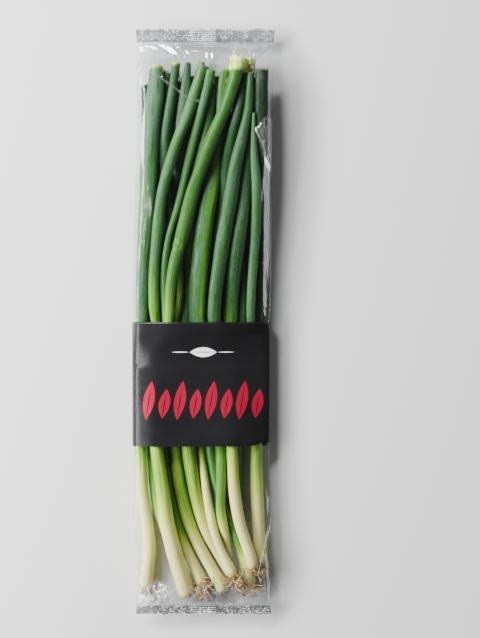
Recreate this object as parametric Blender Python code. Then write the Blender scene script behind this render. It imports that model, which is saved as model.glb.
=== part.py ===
"""A bunch of spring onions in a clear film pack with a plain printed band.

The pack lies on its back. +Y runs from the roots to the leaf tops, +X to the right of the
pack's face and +Z up through it. The origin is under the middle of the pack, on the surface
that it lies on. Sizes below are millimetres, turned into metres where meshes are made.
"""

import math
import random

import bmesh
import bpy
import numpy as np

MM = 0.001

# The film pack.
PACK_LENGTH = 400.0
SEAL_HALF_WIDTH = 49.0
TOP_SEAL = 9.5
ROOT_SEAL = 7.0
SEAL_THICKNESS = 1.4
SEAL_HEIGHT = 6.5
SEAL_RIDGE_PITCH = 1.6
SEAL_RIDGE_DEPTH = 0.3
FILM = 0.6
FILM_CLEARANCE = 0.4
CREASE_RADIUS = 0.9
VENT_DIAMETER = 5.0
VENT_PLACES = ((24.0, 120.0), (-24.0, -130.0))

# The printed band.
BAND_FOOT = -84.5
BAND_HEAD = -0.5
BAND_THICKNESS = 0.55
BAND_GAP = 0.3
BAND_EASE = 14.0

# The two long edges of the filled pack, as (y, x).
LEFT_EDGE = ((-200, -46.5), (-190, -44.5), (-160, -46.4), (-85, -48.6), (0, -48.6), (60, -47.4), (130, -44.5), (200, -45.5))
RIGHT_EDGE = ((-200, 46.0), (-190, 45.0), (-160, 46.4), (-85, 45.2), (0, 45.6), (80, 46.6), (165, 46.6), (200, 48.5))

# Each plant has a shank from its root end up to its neck, and its leaves from the neck up.
# A route is (y, x, width) points, and height is how high in the pile the strand starts out.
# hold is how firmly a strand keeps its route when the pile settles.
FRONT, MIDDLE, BACK = 0.50, 0.12, 0.03


def strand(height, hold, flat, *route):
    return {"height": height, "hold": hold, "flat": flat, "route": route}


PLANTS = (
    {
        "roots": (7, 9.0),
        "shank": strand(12, FRONT, 1.0, (-182, -39.9, 7.6), (-168, -38, 8.6), (-153, -36.3, 9.0), (-139, -37.6, 8.8), (-110, -42.2, 8.4), (-85, -43.4, 7.8), (-30, -42.6, 7.6)),
        "leaves": (
            strand(17, FRONT, 0.62, (-30, -42.6, 7.0), (0, -41.4, 7.0), (44, -39.6, 8.0), (65, -38.4, 9.2), (89, -37.2, 10.0), (110, -36.4, 11.2), (125, -35, 12.2), (138, -33.6, 12.6), (150, -31.6, 12.4), (162, -30, 11.4), (175, -28, 9.5)),
            strand(11, FRONT, 0.8, (-30, -42.6, 6.0), (0, -44.4, 5.6), (50, -44, 5.8), (90, -42, 6.0), (105, -39, 5.6), (118, -35.5, 4.6)),
            strand(5, BACK, 0.75, (-30, -42.6, 6.0), (20, -40, 7.5), (70, -37, 8.5), (120, -33, 8.5), (162, -29, 7.5)),
        ),
    },
    {
        "roots": (6, 2.0),
        "shank": strand(16, FRONT, 1.0, (-187, -10.5, 10.0), (-176, -14.6, 11.2), (-164, -19.3, 11.2), (-139, -25.2, 10.4), (-113, -27.5, 9.4), (-85, -32, 9.3), (-10, -33.7, 7.5)),
        "leaves": (
            strand(17, FRONT, 0.85, (-10, -33.7, 7.0), (11, -33.7, 7.2), (37, -32.5, 7.2), (64, -29.6, 8.0), (86, -26.3, 8.0), (105, -22.4, 8.0), (118, -18.1, 8.2), (131, -13.6, 8.3), (144, -8, 8.3), (158, -3.7, 8.3), (175, 1, 7.0)),
            strand(11, MIDDLE, 0.5, (-10, -33.7, 6.0), (50, -27, 8.0), (100, -20.5, 8.6), (120, -17.5, 8.6), (145, -13.2, 8.0), (160, -11.5, 7.4), (169, -10.6, 5.4), (177, -9.6, 3.6)),
            strand(5, BACK, 0.75, (-10, -33.7, 7.0), (50, -25, 8.5), (110, -16, 8.5), (165, -9, 7.5)),
        ),
    },
    {
        "roots": (7, 4.0),
        "shank": strand(15, FRONT, 1.0, (-184, 15.6, 9.0), (-176, 11.2, 9.6), (-164, 3.3, 9.0), (-139, -10.2, 8.6), (-113, -17, 8.2), (-85, -21, 7.6), (-40, -25, 7.2)),
        "leaves": (
            strand(17, FRONT, 0.85, (-40, -25, 6.6), (-20, -26.8, 6.8), (0, -26.4, 7.0), (20, -25.4, 7.4), (37, -22.8, 8.2), (50, -18.3, 9.4), (64, -14.3, 9.8), (76, -11.6, 9.3), (92, -7.3, 9.0), (105, -2.6, 9.4), (118, 2.2, 9.8), (131, 7.7, 9.8), (144, 13.1, 9.4), (165, 20, 9.0), (179, 22, 10.2)),
            strand(9, BACK, 0.8, (-40, -25, 5.0), (0, -24, 5.0), (50, -20, 5.0), (90, -17, 5.0), (130, -11, 5.0), (160, -6.5, 4.5), (178, -4.9, 4.0)),
            strand(5, BACK, 0.75, (-40, -25, 6.0), (0, -22, 7.0), (50, -18, 7.0), (90, -12, 7.8), (130, -4, 8.5), (172, 3, 7.5)),
        ),
    },
    {
        "roots": (12, 11.0),
        "shank": strand(6, MIDDLE, 1.0, (-180, 0, 8.5), (-164, -6.8, 8.6), (-142, -15, 8.0), (-120, -21, 7.5), (-85, -25, 7.5), (-40, -27, 7.0)),
        "leaves": (
            strand(14, FRONT, 0.85, (-40, -27, 5.0), (0, -29, 5.0), (25, -28, 5.0), (50, -25, 5.0), (64, -22.4, 5.2), (82, -16.4, 5.6), (101, -11.4, 5.8), (121, -6.8, 6.4), (136, -2.2, 6.4), (150, 2, 6.2), (171, 7.6, 6.2)),
            strand(9, MIDDLE, 0.8, (-40, -27, 6.0), (20, -27, 7.0), (60, -27.5, 7.5), (100, -27, 7.5), (130, -24.5, 7.0), (150, -22.5, 6.5), (177, -20.2, 5.5)),
        ),
    },
    {
        "roots": (9, 8.0),
        "shank": strand(9, MIDDLE, 1.0, (-175, 16, 7.5), (-157, 5.4, 7.6), (-138, -1.7, 8.0), (-113, -6.8, 9.0), (-85, -12.2, 10.2), (0, -15.2, 8.0), (20, -16.5, 7.5)),
        "leaves": (
            strand(10, MIDDLE, 0.8, (20, -16.5, 7.0), (44, -12.9, 8.0), (64, -7.8, 8.5), (92, -2, 8.5), (131, 8, 8.5), (169, 13.5, 7.5)),
            strand(4, BACK, 0.75, (20, -16.5, 7.0), (60, -6, 8.5), (110, 6, 8.5), (165, 16, 7.5)),
        ),
    },
    {
        "roots": (11, 12.0),
        "shank": strand(17, FRONT, 1.0, (-174, 21, 6.4), (-164, 15.6, 6.4), (-151, 8.6, 6.2), (-119, 1.6, 6.0), (-85, -2, 5.6), (-50, -3, 5.4)),
        "leaves": (
            strand(5, BACK, 0.75, (-50, -3, 5.0), (0, -1, 7.0), (60, 7, 8.0), (120, 17, 8.0), (172, 26, 7.0)),
            strand(8, BACK, 0.75, (-50, -3, 5.0), (0, -8, 6.0), (60, -4, 6.5), (120, 8, 6.5), (160, 12, 5.0)),
        ),
    },
    {
        "roots": (8, 5.0),
        "shank": strand(12, FRONT, 1.0, (-160, 14.6, 6.2), (-148, 12.8, 6.8), (-126, 11.2, 7.0), (-85, 12.2, 7.5), (-40, 9, 7.5)),
        "leaves": (
            strand(17, FRONT, 0.82, (-40, 9, 7.0), (0, 5.5, 9.0), (24, 8.1, 9.3), (51, 13.1, 10.0), (64, 15.6, 10.0), (82, 20, 10.0), (97, 22.6, 9.6), (112, 25.2, 8.8), (121, 27.3, 7.8), (131, 29.3, 6.8), (150, 32.3, 5.8), (170, 34.8, 4.8)),
            strand(5, BACK, 0.75, (-40, 9, 7.0), (0, 10, 8.0), (60, 16, 8.5), (120, 27, 8.0), (168, 34, 7.0)),
        ),
    },
    {
        "roots": (10, 8.0),
        "shank": strand(7, MIDDLE, 1.0, (-180, 32.6, 8.8), (-161, 25.6, 8.8), (-139, 17, 8.2), (-118, 9, 7.6), (-85, 4.4, 7.2), (-60, 2, 7.0)),
        "leaves": (
            strand(14, FRONT, 0.6, (-60, 2, 7.0), (-30, -3, 9.5), (0, -5.4, 10.8), (24, -4.6, 12.0), (51, -2.3, 12.2), (64, 0, 12.0), (82, 3.9, 11.0), (98, 8, 10.0), (114, 11.6, 9.2), (130, 13.8, 8.4), (150, 14.6, 7.6), (172, 14.8, 6.8)),
            strand(10, MIDDLE, 0.8, (-60, 2, 6.0), (0, 11, 8.0), (60, 13, 8.5), (90, 16.5, 8.0), (108, 19.4, 7.5), (120, 22, 7.5), (131, 24.6, 7.5), (153, 28, 7.6), (180, 31, 8.0)),
        ),
    },
    {
        "roots": (7, 6.0),
        "shank": strand(13, FRONT, 1.0, (-168, 34, 7.4), (-151, 28.3, 7.8), (-139, 23.5, 8.2), (-113, 19, 8.0), (-85, 17, 7.6), (-30, 18.5, 7.5)),
        "leaves": (
            strand(11, MIDDLE, 0.75, (-30, 18.5, 8.0), (0, 20, 10.0), (24, 22.6, 10.0), (51, 25, 9.6), (64, 26, 9.0), (90, 29, 8.5), (130, 34, 8.0), (166, 37, 7.0)),
            strand(4, BACK, 0.75, (-30, 18.5, 6.0), (20, 22, 7.5), (80, 29, 8.0), (130, 36, 7.5), (162, 38, 7.0)),
        ),
    },
    {
        "roots": (12, 11.0),
        "shank": strand(9, FRONT, 1.0, (-167, 40.5, 9.2), (-151, 39, 8.8), (-126, 36.9, 8.8), (-85, 35.4, 9.0), (-30, 34, 7.5)),
        "leaves": (
            strand(19, FRONT, 0.8, (-30, 34, 5.0), (0, 29.6, 5.6), (24, 31.8, 6.2), (51, 34.2, 6.8), (64, 35.2, 7.0), (89, 35.6, 6.6), (105, 35.4, 5.8), (118, 34.8, 4.8), (131, 33.2, 3.2), (141, 31.8, 1.6)),
            strand(12, MIDDLE, 0.5, (-30, 34, 6.0), (0, 37.5, 7.0), (37, 38.6, 7.0), (64, 38.8, 7.0), (90, 38.6, 7.5), (118, 38.4, 8.0), (137, 38.6, 9.0), (150, 39.2, 9.6), (171, 40.4, 9.6)),
            strand(4, BACK, 0.8, (-30, 34, 6.0), (10, 39, 7.5), (60, 40, 8.0), (120, 40, 8.0), (156, 39, 7.0)),
        ),
    },
    {
        "roots": (5, 5.0),
        "shank": strand(4, FRONT, 1.0, (-160, -20.5, 5.4), (-151, -23, 6.0), (-141, -27, 6.8), (-132, -31.5, 7.6), (-113, -35, 7.8), (-85, -38.2, 7.4), (-40, -38, 7.0)),
        "leaves": (
            strand(4, BACK, 0.75, (-40, -38, 6.0), (20, -36, 8.0), (80, -30, 8.5), (130, -24, 8.5), (172, -21, 7.5)),
            strand(7, BACK, 0.75, (-40, -38, 6.0), (20, -35, 6.6), (80, -26, 7.0), (130, -12, 7.0), (168, -3, 7.0)),
        ),
    },
    {
        "roots": (5, 5.0),
        "shank": strand(4, FRONT, 1.0, (-128, 22.5, 6.2), (-113, 22.3, 6.8), (-85, 22.3, 7.4), (-40, 26, 7.2)),
        "leaves": (
            strand(5, BACK, 0.75, (-40, 26, 6.0), (10, 30, 7.5), (70, 33, 8.0), (120, 37, 7.5), (160, 40, 7.0)),
            strand(8, BACK, 0.75, (-40, 26, 6.0), (10, 27, 6.5), (70, 25, 7.0), (130, 27, 7.0), (170, 20, 6.0)),
        ),
    },
)

# How the pile settles.
STATION = 5.0
SETTLE_STEPS = 1200
STRAND_GAP = 0.7
FLOOR = 1.05
SINK = 0.06

# Meshes.
SHANK_STEP = 12.0
LEAF_STEP = 15.0
SHANK_SIDES = 9
LEAF_SIDES = 7
BACK_SIDES = 6
ROOT_SIDES = 3
ROOT_RADIUS = 0.45
NODE_GAP = 0.3
LEAF_WALL = 0.8
LEAF_HOLLOW = 5.0
SLOPES = (0, 4, 9, 15, 23, 35, 55)
FILM_RINGS = (-200, -194, -189, -180, -165, -150, -135, -120, -108, -98.5, -86.5, -72, -58, -44, -30, -15, 1.5)
FILM_RINGS += (13.5, 30, 45, 60, 75, 90, 105, 120, 135, 150, 165, 180, 190.5, 200)

COLOURS = {
    "shank": (0.78, 0.80, 0.62),
    "leaves": (0.09, 0.24, 0.09),
    "bright": (0.24, 0.42, 0.10),
    "roots": (0.42, 0.29, 0.16),
    "film": (0.82, 0.86, 0.88),
    "band": (0.015, 0.015, 0.018),
}
BRIGHT_PLANTS = (3, 9)


def smoothstep(t):
    t = np.clip(t, 0.0, 1.0)
    return t * t * (3.0 - 2.0 * t)


def along(points, ys):
    """Values of (y, value) points at ys, with the corners between the points rounded."""
    fine = np.arange(-210.0, 210.1, 2.5)
    table = np.array(sorted(points), float)
    values = np.interp(fine, table[:, 0], table[:, 1])
    for _ in range(8):
        values[1:-1] = 0.25 * values[:-2] + 0.5 * values[1:-1] + 0.25 * values[2:]
    return np.interp(ys, fine, values)


def band_waist(ys):
    """How far the film draws in for the band, 0 to 1."""
    ys = np.asarray(ys, float)
    head = (BAND_HEAD + BAND_EASE - ys) / (BAND_EASE - 2.0)
    foot = (ys - BAND_FOOT + BAND_EASE) / (BAND_EASE - 2.0)
    return np.clip(np.minimum(head, foot), 0.0, 1.0)


def floor_height(ys):
    return (BAND_THICKNESS + BAND_GAP) * band_waist(ys)


STATIONS = np.arange(-200.0, 200.1, STATION)


def lay_out():
    """Every strand's centre and half sizes at STATIONS, before the pile settles."""
    strands = []
    for number, plant in enumerate(PLANTS, 1):
        shank_height = plant["shank"]["height"]
        for part, item in enumerate([plant["shank"], *plant["leaves"]]):
            route = np.array(sorted(item["route"]), float)
            low, high = route[0, 0], route[-1, 0]
            reach = np.clip(STATIONS, low, high)
            half = along([(y, w / 2) for y, _, w in item["route"]], reach)
            z = np.full(len(STATIONS), float(item["height"]))
            if part:
                ease = smoothstep((STATIONS - low) / 45.0)
                z = shank_height + (item["height"] - shank_height) * ease
            strands.append(
                {
                    "plant": number,
                    "part": part,
                    "low": low,
                    "high": high,
                    "x0": along([(y, x) for y, x, _ in item["route"]], reach),
                    "z0": z,
                    "a": half,
                    "b": half * item["flat"],
                    "hold": item["hold"],
                }
            )
    return strands


def settle(strands):
    """Push the strands apart and let them sink until none run through another."""
    x0 = np.array([s["x0"] for s in strands])
    z0 = np.array([s["z0"] for s in strands])
    x, z = x0.copy(), z0.copy()
    a, b = np.array([s["a"] for s in strands]), np.array([s["b"] for s in strands])
    hold = np.array([s["hold"] for s in strands])[:, None]
    low = np.array([s["low"] for s in strands])[:, None]
    high = np.array([s["high"] for s in strands])[:, None]
    plant = np.array([s["plant"] for s in strands])
    part = np.array([s["part"] for s in strands])
    here = (STATIONS >= low - STATION) & (STATIONS <= high + STATION)
    both = (here[:, None] & here[None]).astype(float)
    same = plant[:, None] == plant[None]
    stem = (part[:, None] == 0) | (part[None] == 0)
    ramp = smoothstep((STATIONS - low[:, None, :] - 15.0) / 40.0) * np.ones_like(both)
    both = both * np.where(same[..., None], np.where(stem[..., None], 0.0, ramp), 1.0)
    both[np.arange(len(strands)), np.arange(len(strands))] = 0.0
    wide = a[:, None] + a[None] + STRAND_GAP
    tall = b[:, None] + b[None] + STRAND_GAP
    left = along(LEFT_EDGE, STATIONS) + 1.8
    right = along(RIGHT_EDGE, STATIONS) - 2.2
    floor = FLOOR + floor_height(STATIONS)
    inside = [np.flatnonzero(row) for row in here]

    def keep_in():
        np.clip(x, left + a, right - a, out=x)
        np.maximum(z, floor + b, out=z)

    def push(rate):
        dx, dz = x[:, None] - x[None], z[:, None] - z[None]
        q = np.sqrt((dx / wide) ** 2 + (dz / tall) ** 2) + 1e-6
        more = np.clip(1.0 / np.maximum(q, 0.25) - 1.0, 0.0, None) * both * rate
        x[:] += (dx * more * 0.5).sum(1)
        z[:] += (dz * more * 0.5).sum(1)

    def smooth(grid, base, i, k, rate):
        row = grid[i, k] - base[i, k]
        row[1:-1] += rate * (0.5 * (row[:-2] + row[2:]) - row[1:-1])
        row[-1] += rate * 0.6 * (2.0 * row[-2] - row[-3] - row[-1])
        row[0] += rate * 0.6 * (2.0 * row[1] - row[2] - row[0])
        grid[i, k] = row + base[i, k]

    def join_necks():
        for i in np.flatnonzero(part == 0):
            k = int(round((high[i, 0] + 200.0) / STATION))
            own = np.flatnonzero((plant == plant[i]) & (part > 0))
            for grid in (x, z):
                ahead = grid[own, k + 1].mean()
                grid[i, k] = 0.5 * grid[i, k] + 0.25 * (grid[i, k - 1] + ahead)
                grid[i, k + 1] = grid[i, k]
                grid[own, k] = grid[i, k]
                grid[own, k - 1] = grid[i, k]

    for step in range(SETTLE_STEPS):
        calm = 1.0 - step / SETTLE_STEPS
        push(0.55)
        x += hold * 0.35 * calm * (x0 - x)
        z -= SINK * (0.25 + calm)
        for i, k in enumerate(inside):
            smooth(x, x0, i, k, 0.5)
            smooth(z, z0, i, k, 0.7)
        join_necks()
        keep_in()
    for _ in range(60):
        push(0.35)
        for i, k in enumerate(inside):
            smooth(x, x0, i, k, 0.12)
            smooth(z, z0, i, k, 0.2)
        join_necks()
        keep_in()
    # What still touches is made thinner there, as the strands will be between their rings.
    rings = [ring_ys(s["low"], s["high"], SHANK_STEP if s["part"] == 0 else LEAF_STEP) for s in strands]

    def as_built(grid):
        return np.array(
            [np.interp(STATIONS, ys, np.interp(ys, STATIONS, row)) for ys, row in zip(rings, grid)]
        )

    px, pz = as_built(x), as_built(z)
    dx, dz = px[:, None] - px[None], pz[:, None] - pz[None]
    for _ in range(16):
        pa, pb = as_built(a), as_built(b)
        wide = pa[:, None] + pa[None] + STRAND_GAP - 0.3
        tall = pb[:, None] + pb[None] + STRAND_GAP - 0.3
        q = np.sqrt((dx / wide) ** 2 + (dz / tall) ** 2)
        tight = np.where(both > 0.9, np.clip(q, 0.8, 1.0), 1.0).min(1)
        slim = tight.copy()
        for d in (1, 2):
            slim[:, d:] = np.minimum(slim[:, d:], tight[:, :-d])
            slim[:, :-d] = np.minimum(slim[:, :-d], tight[:, d:])
        a *= slim
        b *= slim
    for i, s in enumerate(strands):
        s["x"], s["z"], s["a"], s["b"] = x[i], z[i], a[i], b[i]
    return strands


def at(strand_, y):
    """Centre and half sizes of a settled strand at y."""
    y = min(max(y, strand_["low"]), strand_["high"])
    return [float(np.interp(y, STATIONS, strand_[key])) for key in ("x", "z", "a", "b")]


def ring_ys(low, high, step):
    """low, the round multiples of step between, and high."""
    inner = np.arange(math.ceil(low / step) * step, high, step)
    inner = inner[(inner > low + 0.3 * step) & (inner < high - 0.3 * step)]
    return [low, *inner.tolist(), high]


def oval(x, y, z, a, b, sides, turn=0.0):
    angles = [turn + 2.0 * math.pi * i / sides for i in range(sides)]
    return [(x + a * math.cos(t), y, z + b * math.sin(t)) for t in angles]


def loft(rings):
    """(vertices, faces) of a closed skin over rings of equal length, capped at both ends."""
    sides = len(rings[0])
    vertices = [point for ring in rings for point in ring]
    faces = [tuple(range(sides))]
    for k in range(len(rings) - 1):
        for i in range(sides):
            j = (i + 1) % sides
            faces.append((k * sides + i, (k + 1) * sides + i, (k + 1) * sides + j, k * sides + j))
    top = (len(rings) - 1) * sides
    faces.append(tuple(range(top + sides - 1, top - 1, -1)))
    return vertices, faces


def merged(skins):
    vertices, faces = [], []
    for more, own in skins:
        start = len(vertices)
        vertices += more
        faces += [tuple(start + i for i in face) for face in own]
    return vertices, faces


def mesh_object(name, skin, collection, smooth=True):
    mesh = bpy.data.meshes.new(name)
    mesh.from_pydata([(x * MM, y * MM, z * MM) for x, y, z in skin[0]], [], skin[1])
    work = bmesh.new()
    work.from_mesh(mesh)
    bmesh.ops.recalc_face_normals(work, faces=work.faces)
    work.to_mesh(mesh)
    work.free()
    mesh.polygons.foreach_set("use_smooth", [smooth] * len(mesh.polygons))
    thing = bpy.data.objects.new(name, mesh)
    collection.objects.link(thing)
    return thing


def boolean(thing, other, operation, own_overlaps=False):
    cut = thing.modifiers.new(operation.lower(), "BOOLEAN")
    cut.operation = operation
    cut.solver = "EXACT"
    cut.use_self = own_overlaps
    cut.object = other


def paint(thing, name, colour, roughness=0.5, alpha=1.0):
    material = bpy.data.materials.new(name)
    material.use_nodes = True
    shader = material.node_tree.nodes["Principled BSDF"]
    shader.inputs["Base Color"].default_value = (*colour, 1.0)
    shader.inputs["Roughness"].default_value = roughness
    shader.inputs["Alpha"].default_value = alpha
    thing.data.materials.append(material)


def shank_rings(item):
    rings = []
    for y in ring_ys(item["low"], item["high"], SHANK_STEP):
        x, z, a, b = at(item, y)
        rings.append(oval(x, y, z, a, b, SHANK_SIDES))
    return rings


def neck_rings(shank, own):
    """The sheath that a plant's leaves come out of."""
    low = shank["high"] + NODE_GAP
    x, z, a, b = at(shank, shank["high"])
    rings = [oval(x, low, z, a, b, SHANK_SIDES)]
    for ahead, share in ((8.0, 0.92), (16.0, 0.74)):
        places = [at(leaf, low + ahead) for leaf in own]
        x, z = (sum(p[i] for p in places) / len(places) for i in (0, 1))
        rings.append(oval(x, low + ahead, z, a * share, b * share, SHANK_SIDES))
    return rings


def leaf_rings(item, order):
    """A leaf from inside its neck to its cut top, which is open for a little way."""
    low = item["low"] + 3.0 + 1.3 * order
    sides = BACK_SIDES if item["hold"] == BACK else LEAF_SIDES
    rings = []
    for y in ring_ys(low, item["high"], LEAF_STEP):
        x, z, a, b = at(item, y)
        grown = 0.35 + 0.65 * float(smoothstep((y - low) / 20.0))
        rings.append(oval(x, y, z, a * grown, b * grown, sides, 0.2))
    x, z, a, b = at(item, item["high"])
    if min(a, b) > LEAF_WALL + 0.9:
        for back in (0.0, LEAF_HOLLOW):
            rings.append(oval(x, item["high"] - back, z, a - LEAF_WALL, b - LEAF_WALL, sides, 0.2))
    return rings


def tuft(shank, length):
    """The room that a plant's roots may fill, as ovals from the shank's end down."""
    x, z, a, b = at(shank, shank["low"])
    ahead = at(shank, shank["low"] + 12.0)
    lean = ((x - ahead[0]) / 12.0, (z - ahead[1]) / 12.0)
    return [
        (shank["low"] - t, x + lean[0] * t, max(z + lean[1] * t * 0.5, FLOOR + b + grow), a + grow, b + grow)
        for t, grow in ((0.0, 0.0), (0.4 * length, 1.2), (length, 0.6))
    ]


def root_skins(number, shanks, film):
    """A root plate, and roots that keep clear of every shank and of the film."""
    shank = shanks[number]
    count, length = PLANTS[number - 1]["roots"]
    rng = random.Random(300 + number)
    x, z, a, b = at(shank, shank["low"])
    low = shank["low"] - NODE_GAP
    plate = [oval(x, low - t, z, a * s, b * s, 8) for t, s in ((0.0, 0.82), (1.1, 0.7), (2.0, 0.4))]
    strands, tries = [], 0
    while len(strands) < count and tries < 60 * count:
        tries += 1
        turn = rng.uniform(0.0, 2.0 * math.pi)
        reach = math.sqrt(rng.random()) * 0.62
        point = np.array([x + a * reach * math.cos(turn), low - 0.9, z + b * reach * math.sin(turn)])
        flow = np.array([0.75 * reach * math.cos(turn), -1.0, 0.75 * reach * math.sin(turn)])
        path = [point]
        steps = 3
        for _ in range(steps):
            flow = flow + np.array([rng.uniform(-0.5, 0.5), rng.uniform(-0.1, 0.35), rng.uniform(-0.4, 0.4)])
            flow = flow / np.linalg.norm(flow)
            point = point + flow * length * rng.uniform(0.6, 1.0) / steps
            path.append(point)
        if all(root_fits(p, number, shanks, film) for p in path[1:]) and apart(path, strands):
            strands.append(path)
    return plate, [root_tube(path) for path in strands]


def apart(path, others):
    """False if a new root would run through an older one beyond the plate."""
    for other in others:
        for k in range(1, len(path)):
            for t in (0.33, 0.67, 1.0):
                p = path[k - 1] * (1.0 - t) + path[k] * t
                for m in range(1, len(other)):
                    start, run = other[m - 1], other[m] - other[m - 1]
                    share = np.clip(np.dot(p - start, run) / np.dot(run, run), 0.0, 1.0)
                    if k + m > 2 and np.linalg.norm(start + share * run - p) < 2.3 * ROOT_RADIUS:
                        return False
    return True


def root_fits(p, number, shanks, film):
    room = ROOT_RADIUS + 0.6
    if p[1] > shanks[number]["low"] - 0.5 - ROOT_RADIUS or not inside_film(p, film, room + FILM):
        return False
    for other, shank in shanks.items():
        if other == number:
            continue
        x, z, a, b = at(shank, p[1])
        extra = 3.4 if p[1] < shank["low"] else 0.0
        if p[1] > shank["low"] - 11.0:
            reach = math.hypot((p[0] - x) / (a + room + extra * 0.4), (p[2] - z) / (b + room + extra * 0.4))
            if reach < 1.0:
                return False
    return True


def root_tube(path):
    rings = []
    for k, point in enumerate(path):
        ahead = path[min(k + 1, len(path) - 1)] - path[max(k - 1, 0)]
        ahead = ahead / np.linalg.norm(ahead)
        side = np.cross(ahead, (0.0, 0.0, 1.0))
        side = side / np.linalg.norm(side)
        up = np.cross(side, ahead)
        ring = []
        for i in range(ROOT_SIDES):
            t = 2.0 * math.pi * i / ROOT_SIDES
            ring.append(tuple(point + ROOT_RADIUS * (math.cos(t) * side + math.sin(t) * up)))
        rings.append(ring)
    return rings


def slopes():
    """The directions in which the film is pulled taut, as angles all the way round."""
    up = sorted({90.0 - s for s in SLOPES} | {90.0 + s for s in SLOPES})
    half = [0.0, *up]
    return np.radians(np.array(half + [180.0 + s for s in half]))


def edge_height(ys):
    return 6.5 + 2.5 * smoothstep((190.0 - np.abs(ys)) / 60.0)


def film_reach(strands, directions):
    """(ys, reach): how far the film lies out in each direction at each y."""
    ys = np.array(FILM_RINGS, float)
    c, s = np.cos(directions), np.sin(directions)
    reach = np.full((len(ys), len(directions)), -1e9)

    def add(k, x, z, a, b):
        reach[k] = np.maximum(reach[k], x * c + z * s + np.sqrt((a * c) ** 2 + (b * s) ** 2))

    left, right = along(LEFT_EDGE, ys), along(RIGHT_EDGE, ys)
    ease = band_waist(ys) * (BAND_THICKNESS + BAND_GAP)
    floor = floor_height(ys)
    clear = FILM + FILM_CLEARANCE
    for k in range(len(ys)):
        end = k in (0, 1, len(ys) - 2, len(ys) - 1)
        r = SEAL_THICKNESS / 2 if end else CREASE_RADIUS
        height = SEAL_HEIGHT if end else float(edge_height(ys[k]))
        add(k, left[k] + ease[k] + r, height, r, r)
        add(k, right[k] - ease[k] - r, height, r, r)
        if end:
            continue
        add(k, -22.0, floor[k] + r, r, r)
        add(k, 22.0, floor[k] + r, r, r)
        # What lies halfway to the next rings counts too, so that the film clears it.
        near = {ys[k] + t * (ys[k + d] - ys[k]) for t in (0.0, 0.35, 0.7, 0.98) for d in (-1, 1)}
        for y in sorted(near):
            for item in strands:
                length = PLANTS[item["plant"] - 1]["roots"][1] if item["part"] == 0 else 0.0
                if item["low"] - length < y < item["high"]:
                    x, z, a, b = at(item, float(y))
                    if y < item["low"]:
                        _, x, z, a, b = tuft(item, length)[1]
                    add(k, x, max(z, floor[k] + FLOOR + b), a + clear, b + clear)
    free = band_waist(ys) == 0.0
    for _ in range(4):
        for k in range(2, len(ys) - 2):
            if free[k] and free[k - 1] and free[k + 1]:
                t = (ys[k] - ys[k - 1]) / (ys[k + 1] - ys[k - 1])
                reach[k] = np.maximum(reach[k], (1 - t) * reach[k - 1] + t * reach[k + 1])
    return ys, reach


def taut_ring(y, reach, directions):
    """The corners where neighbouring pulls meet, as a ring round the pack."""
    ring = []
    for i in range(len(directions)):
        j = (i + 1) % len(directions)
        t, u = directions[i], directions[j]
        turn = math.sin(u - t)
        x = (reach[i] * math.sin(u) - reach[j] * math.sin(t)) / turn
        z = (reach[j] * math.cos(t) - reach[i] * math.cos(u)) / turn
        ring.append((x, y, z))
    return ring


def reach_at(y, ys, reach):
    return np.array([np.interp(y, ys, column) for column in reach.T])


def inside_film(p, film, room):
    ys, reach, directions = film
    if not ys[1] + 2.0 < p[1] < ys[-2]:
        return False
    out = p[0] * np.cos(directions) + p[2] * np.sin(directions)
    return bool(np.all(out < reach_at(p[1], ys, reach) - room))


def sawtooth(y, out, half_width, pitch, collection):
    """A cutter that leaves the film's sealed end with a pinked edge."""
    depth = 1.1
    count = int(2 * half_width / pitch)
    edge = []
    for i in range(count + 1):
        edge.append((-half_width + i * pitch, y - out * depth))
        if i < count:
            edge.append((-half_width + (i + 0.5) * pitch, y + out * 0.02))
    edge += [(half_width, y + out * 3.0), (-half_width, y + out * 3.0)]
    vertices = [(px, py, z) for z in (0.0, 14.0) for px, py in edge]
    n = len(edge)
    faces = [tuple(range(n)), tuple(range(2 * n - 1, n - 1, -1))]
    faces += [(i, (i + 1) % n, n + (i + 1) % n, n + i) for i in range(n)]
    return mesh_object(f"saw_{'top' if out > 0 else 'root'}", (vertices, faces), collection, False)


def film_bag(strands, film, parts, cutters):
    ys, reach, directions = film
    bag = mesh_object("film_bag", loft([taut_ring(float(y), r, directions) for y, r in zip(ys, reach)]), parts, False)
    low, high = ys[1] + 1.2, ys[-2] - 1.0
    inner = [float(y) for y in ys if low + 1.0 < y < high - 1.0]
    rings = [taut_ring(y, reach_at(y, ys, reach) - FILM, directions) for y in (low, *inner, high)]
    boolean(bag, mesh_object("film_inside", loft(rings), cutters), "DIFFERENCE")
    for k, (x, y) in enumerate(VENT_PLACES):
        drill = [oval(0, 0, 0, VENT_DIAMETER / 2, VENT_DIAMETER / 2, 12) for _ in (0, 1)]
        drill = [[(x + px, y + pz, z) for px, _, pz in ring] for ring, z in zip(drill, (-1.0, 0.9))]
        boolean(bag, mesh_object(f"vent_{k}", loft(drill), cutters), "DIFFERENCE")
    boolean(bag, sawtooth(ys[-1], 1.0, 51.0, 3.0, cutters), "DIFFERENCE")
    boolean(bag, sawtooth(ys[0], -1.0, 51.0, 3.0, cutters), "DIFFERENCE")
    paint(bag, "clear_film", COLOURS["film"], 0.08, 0.25)


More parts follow.
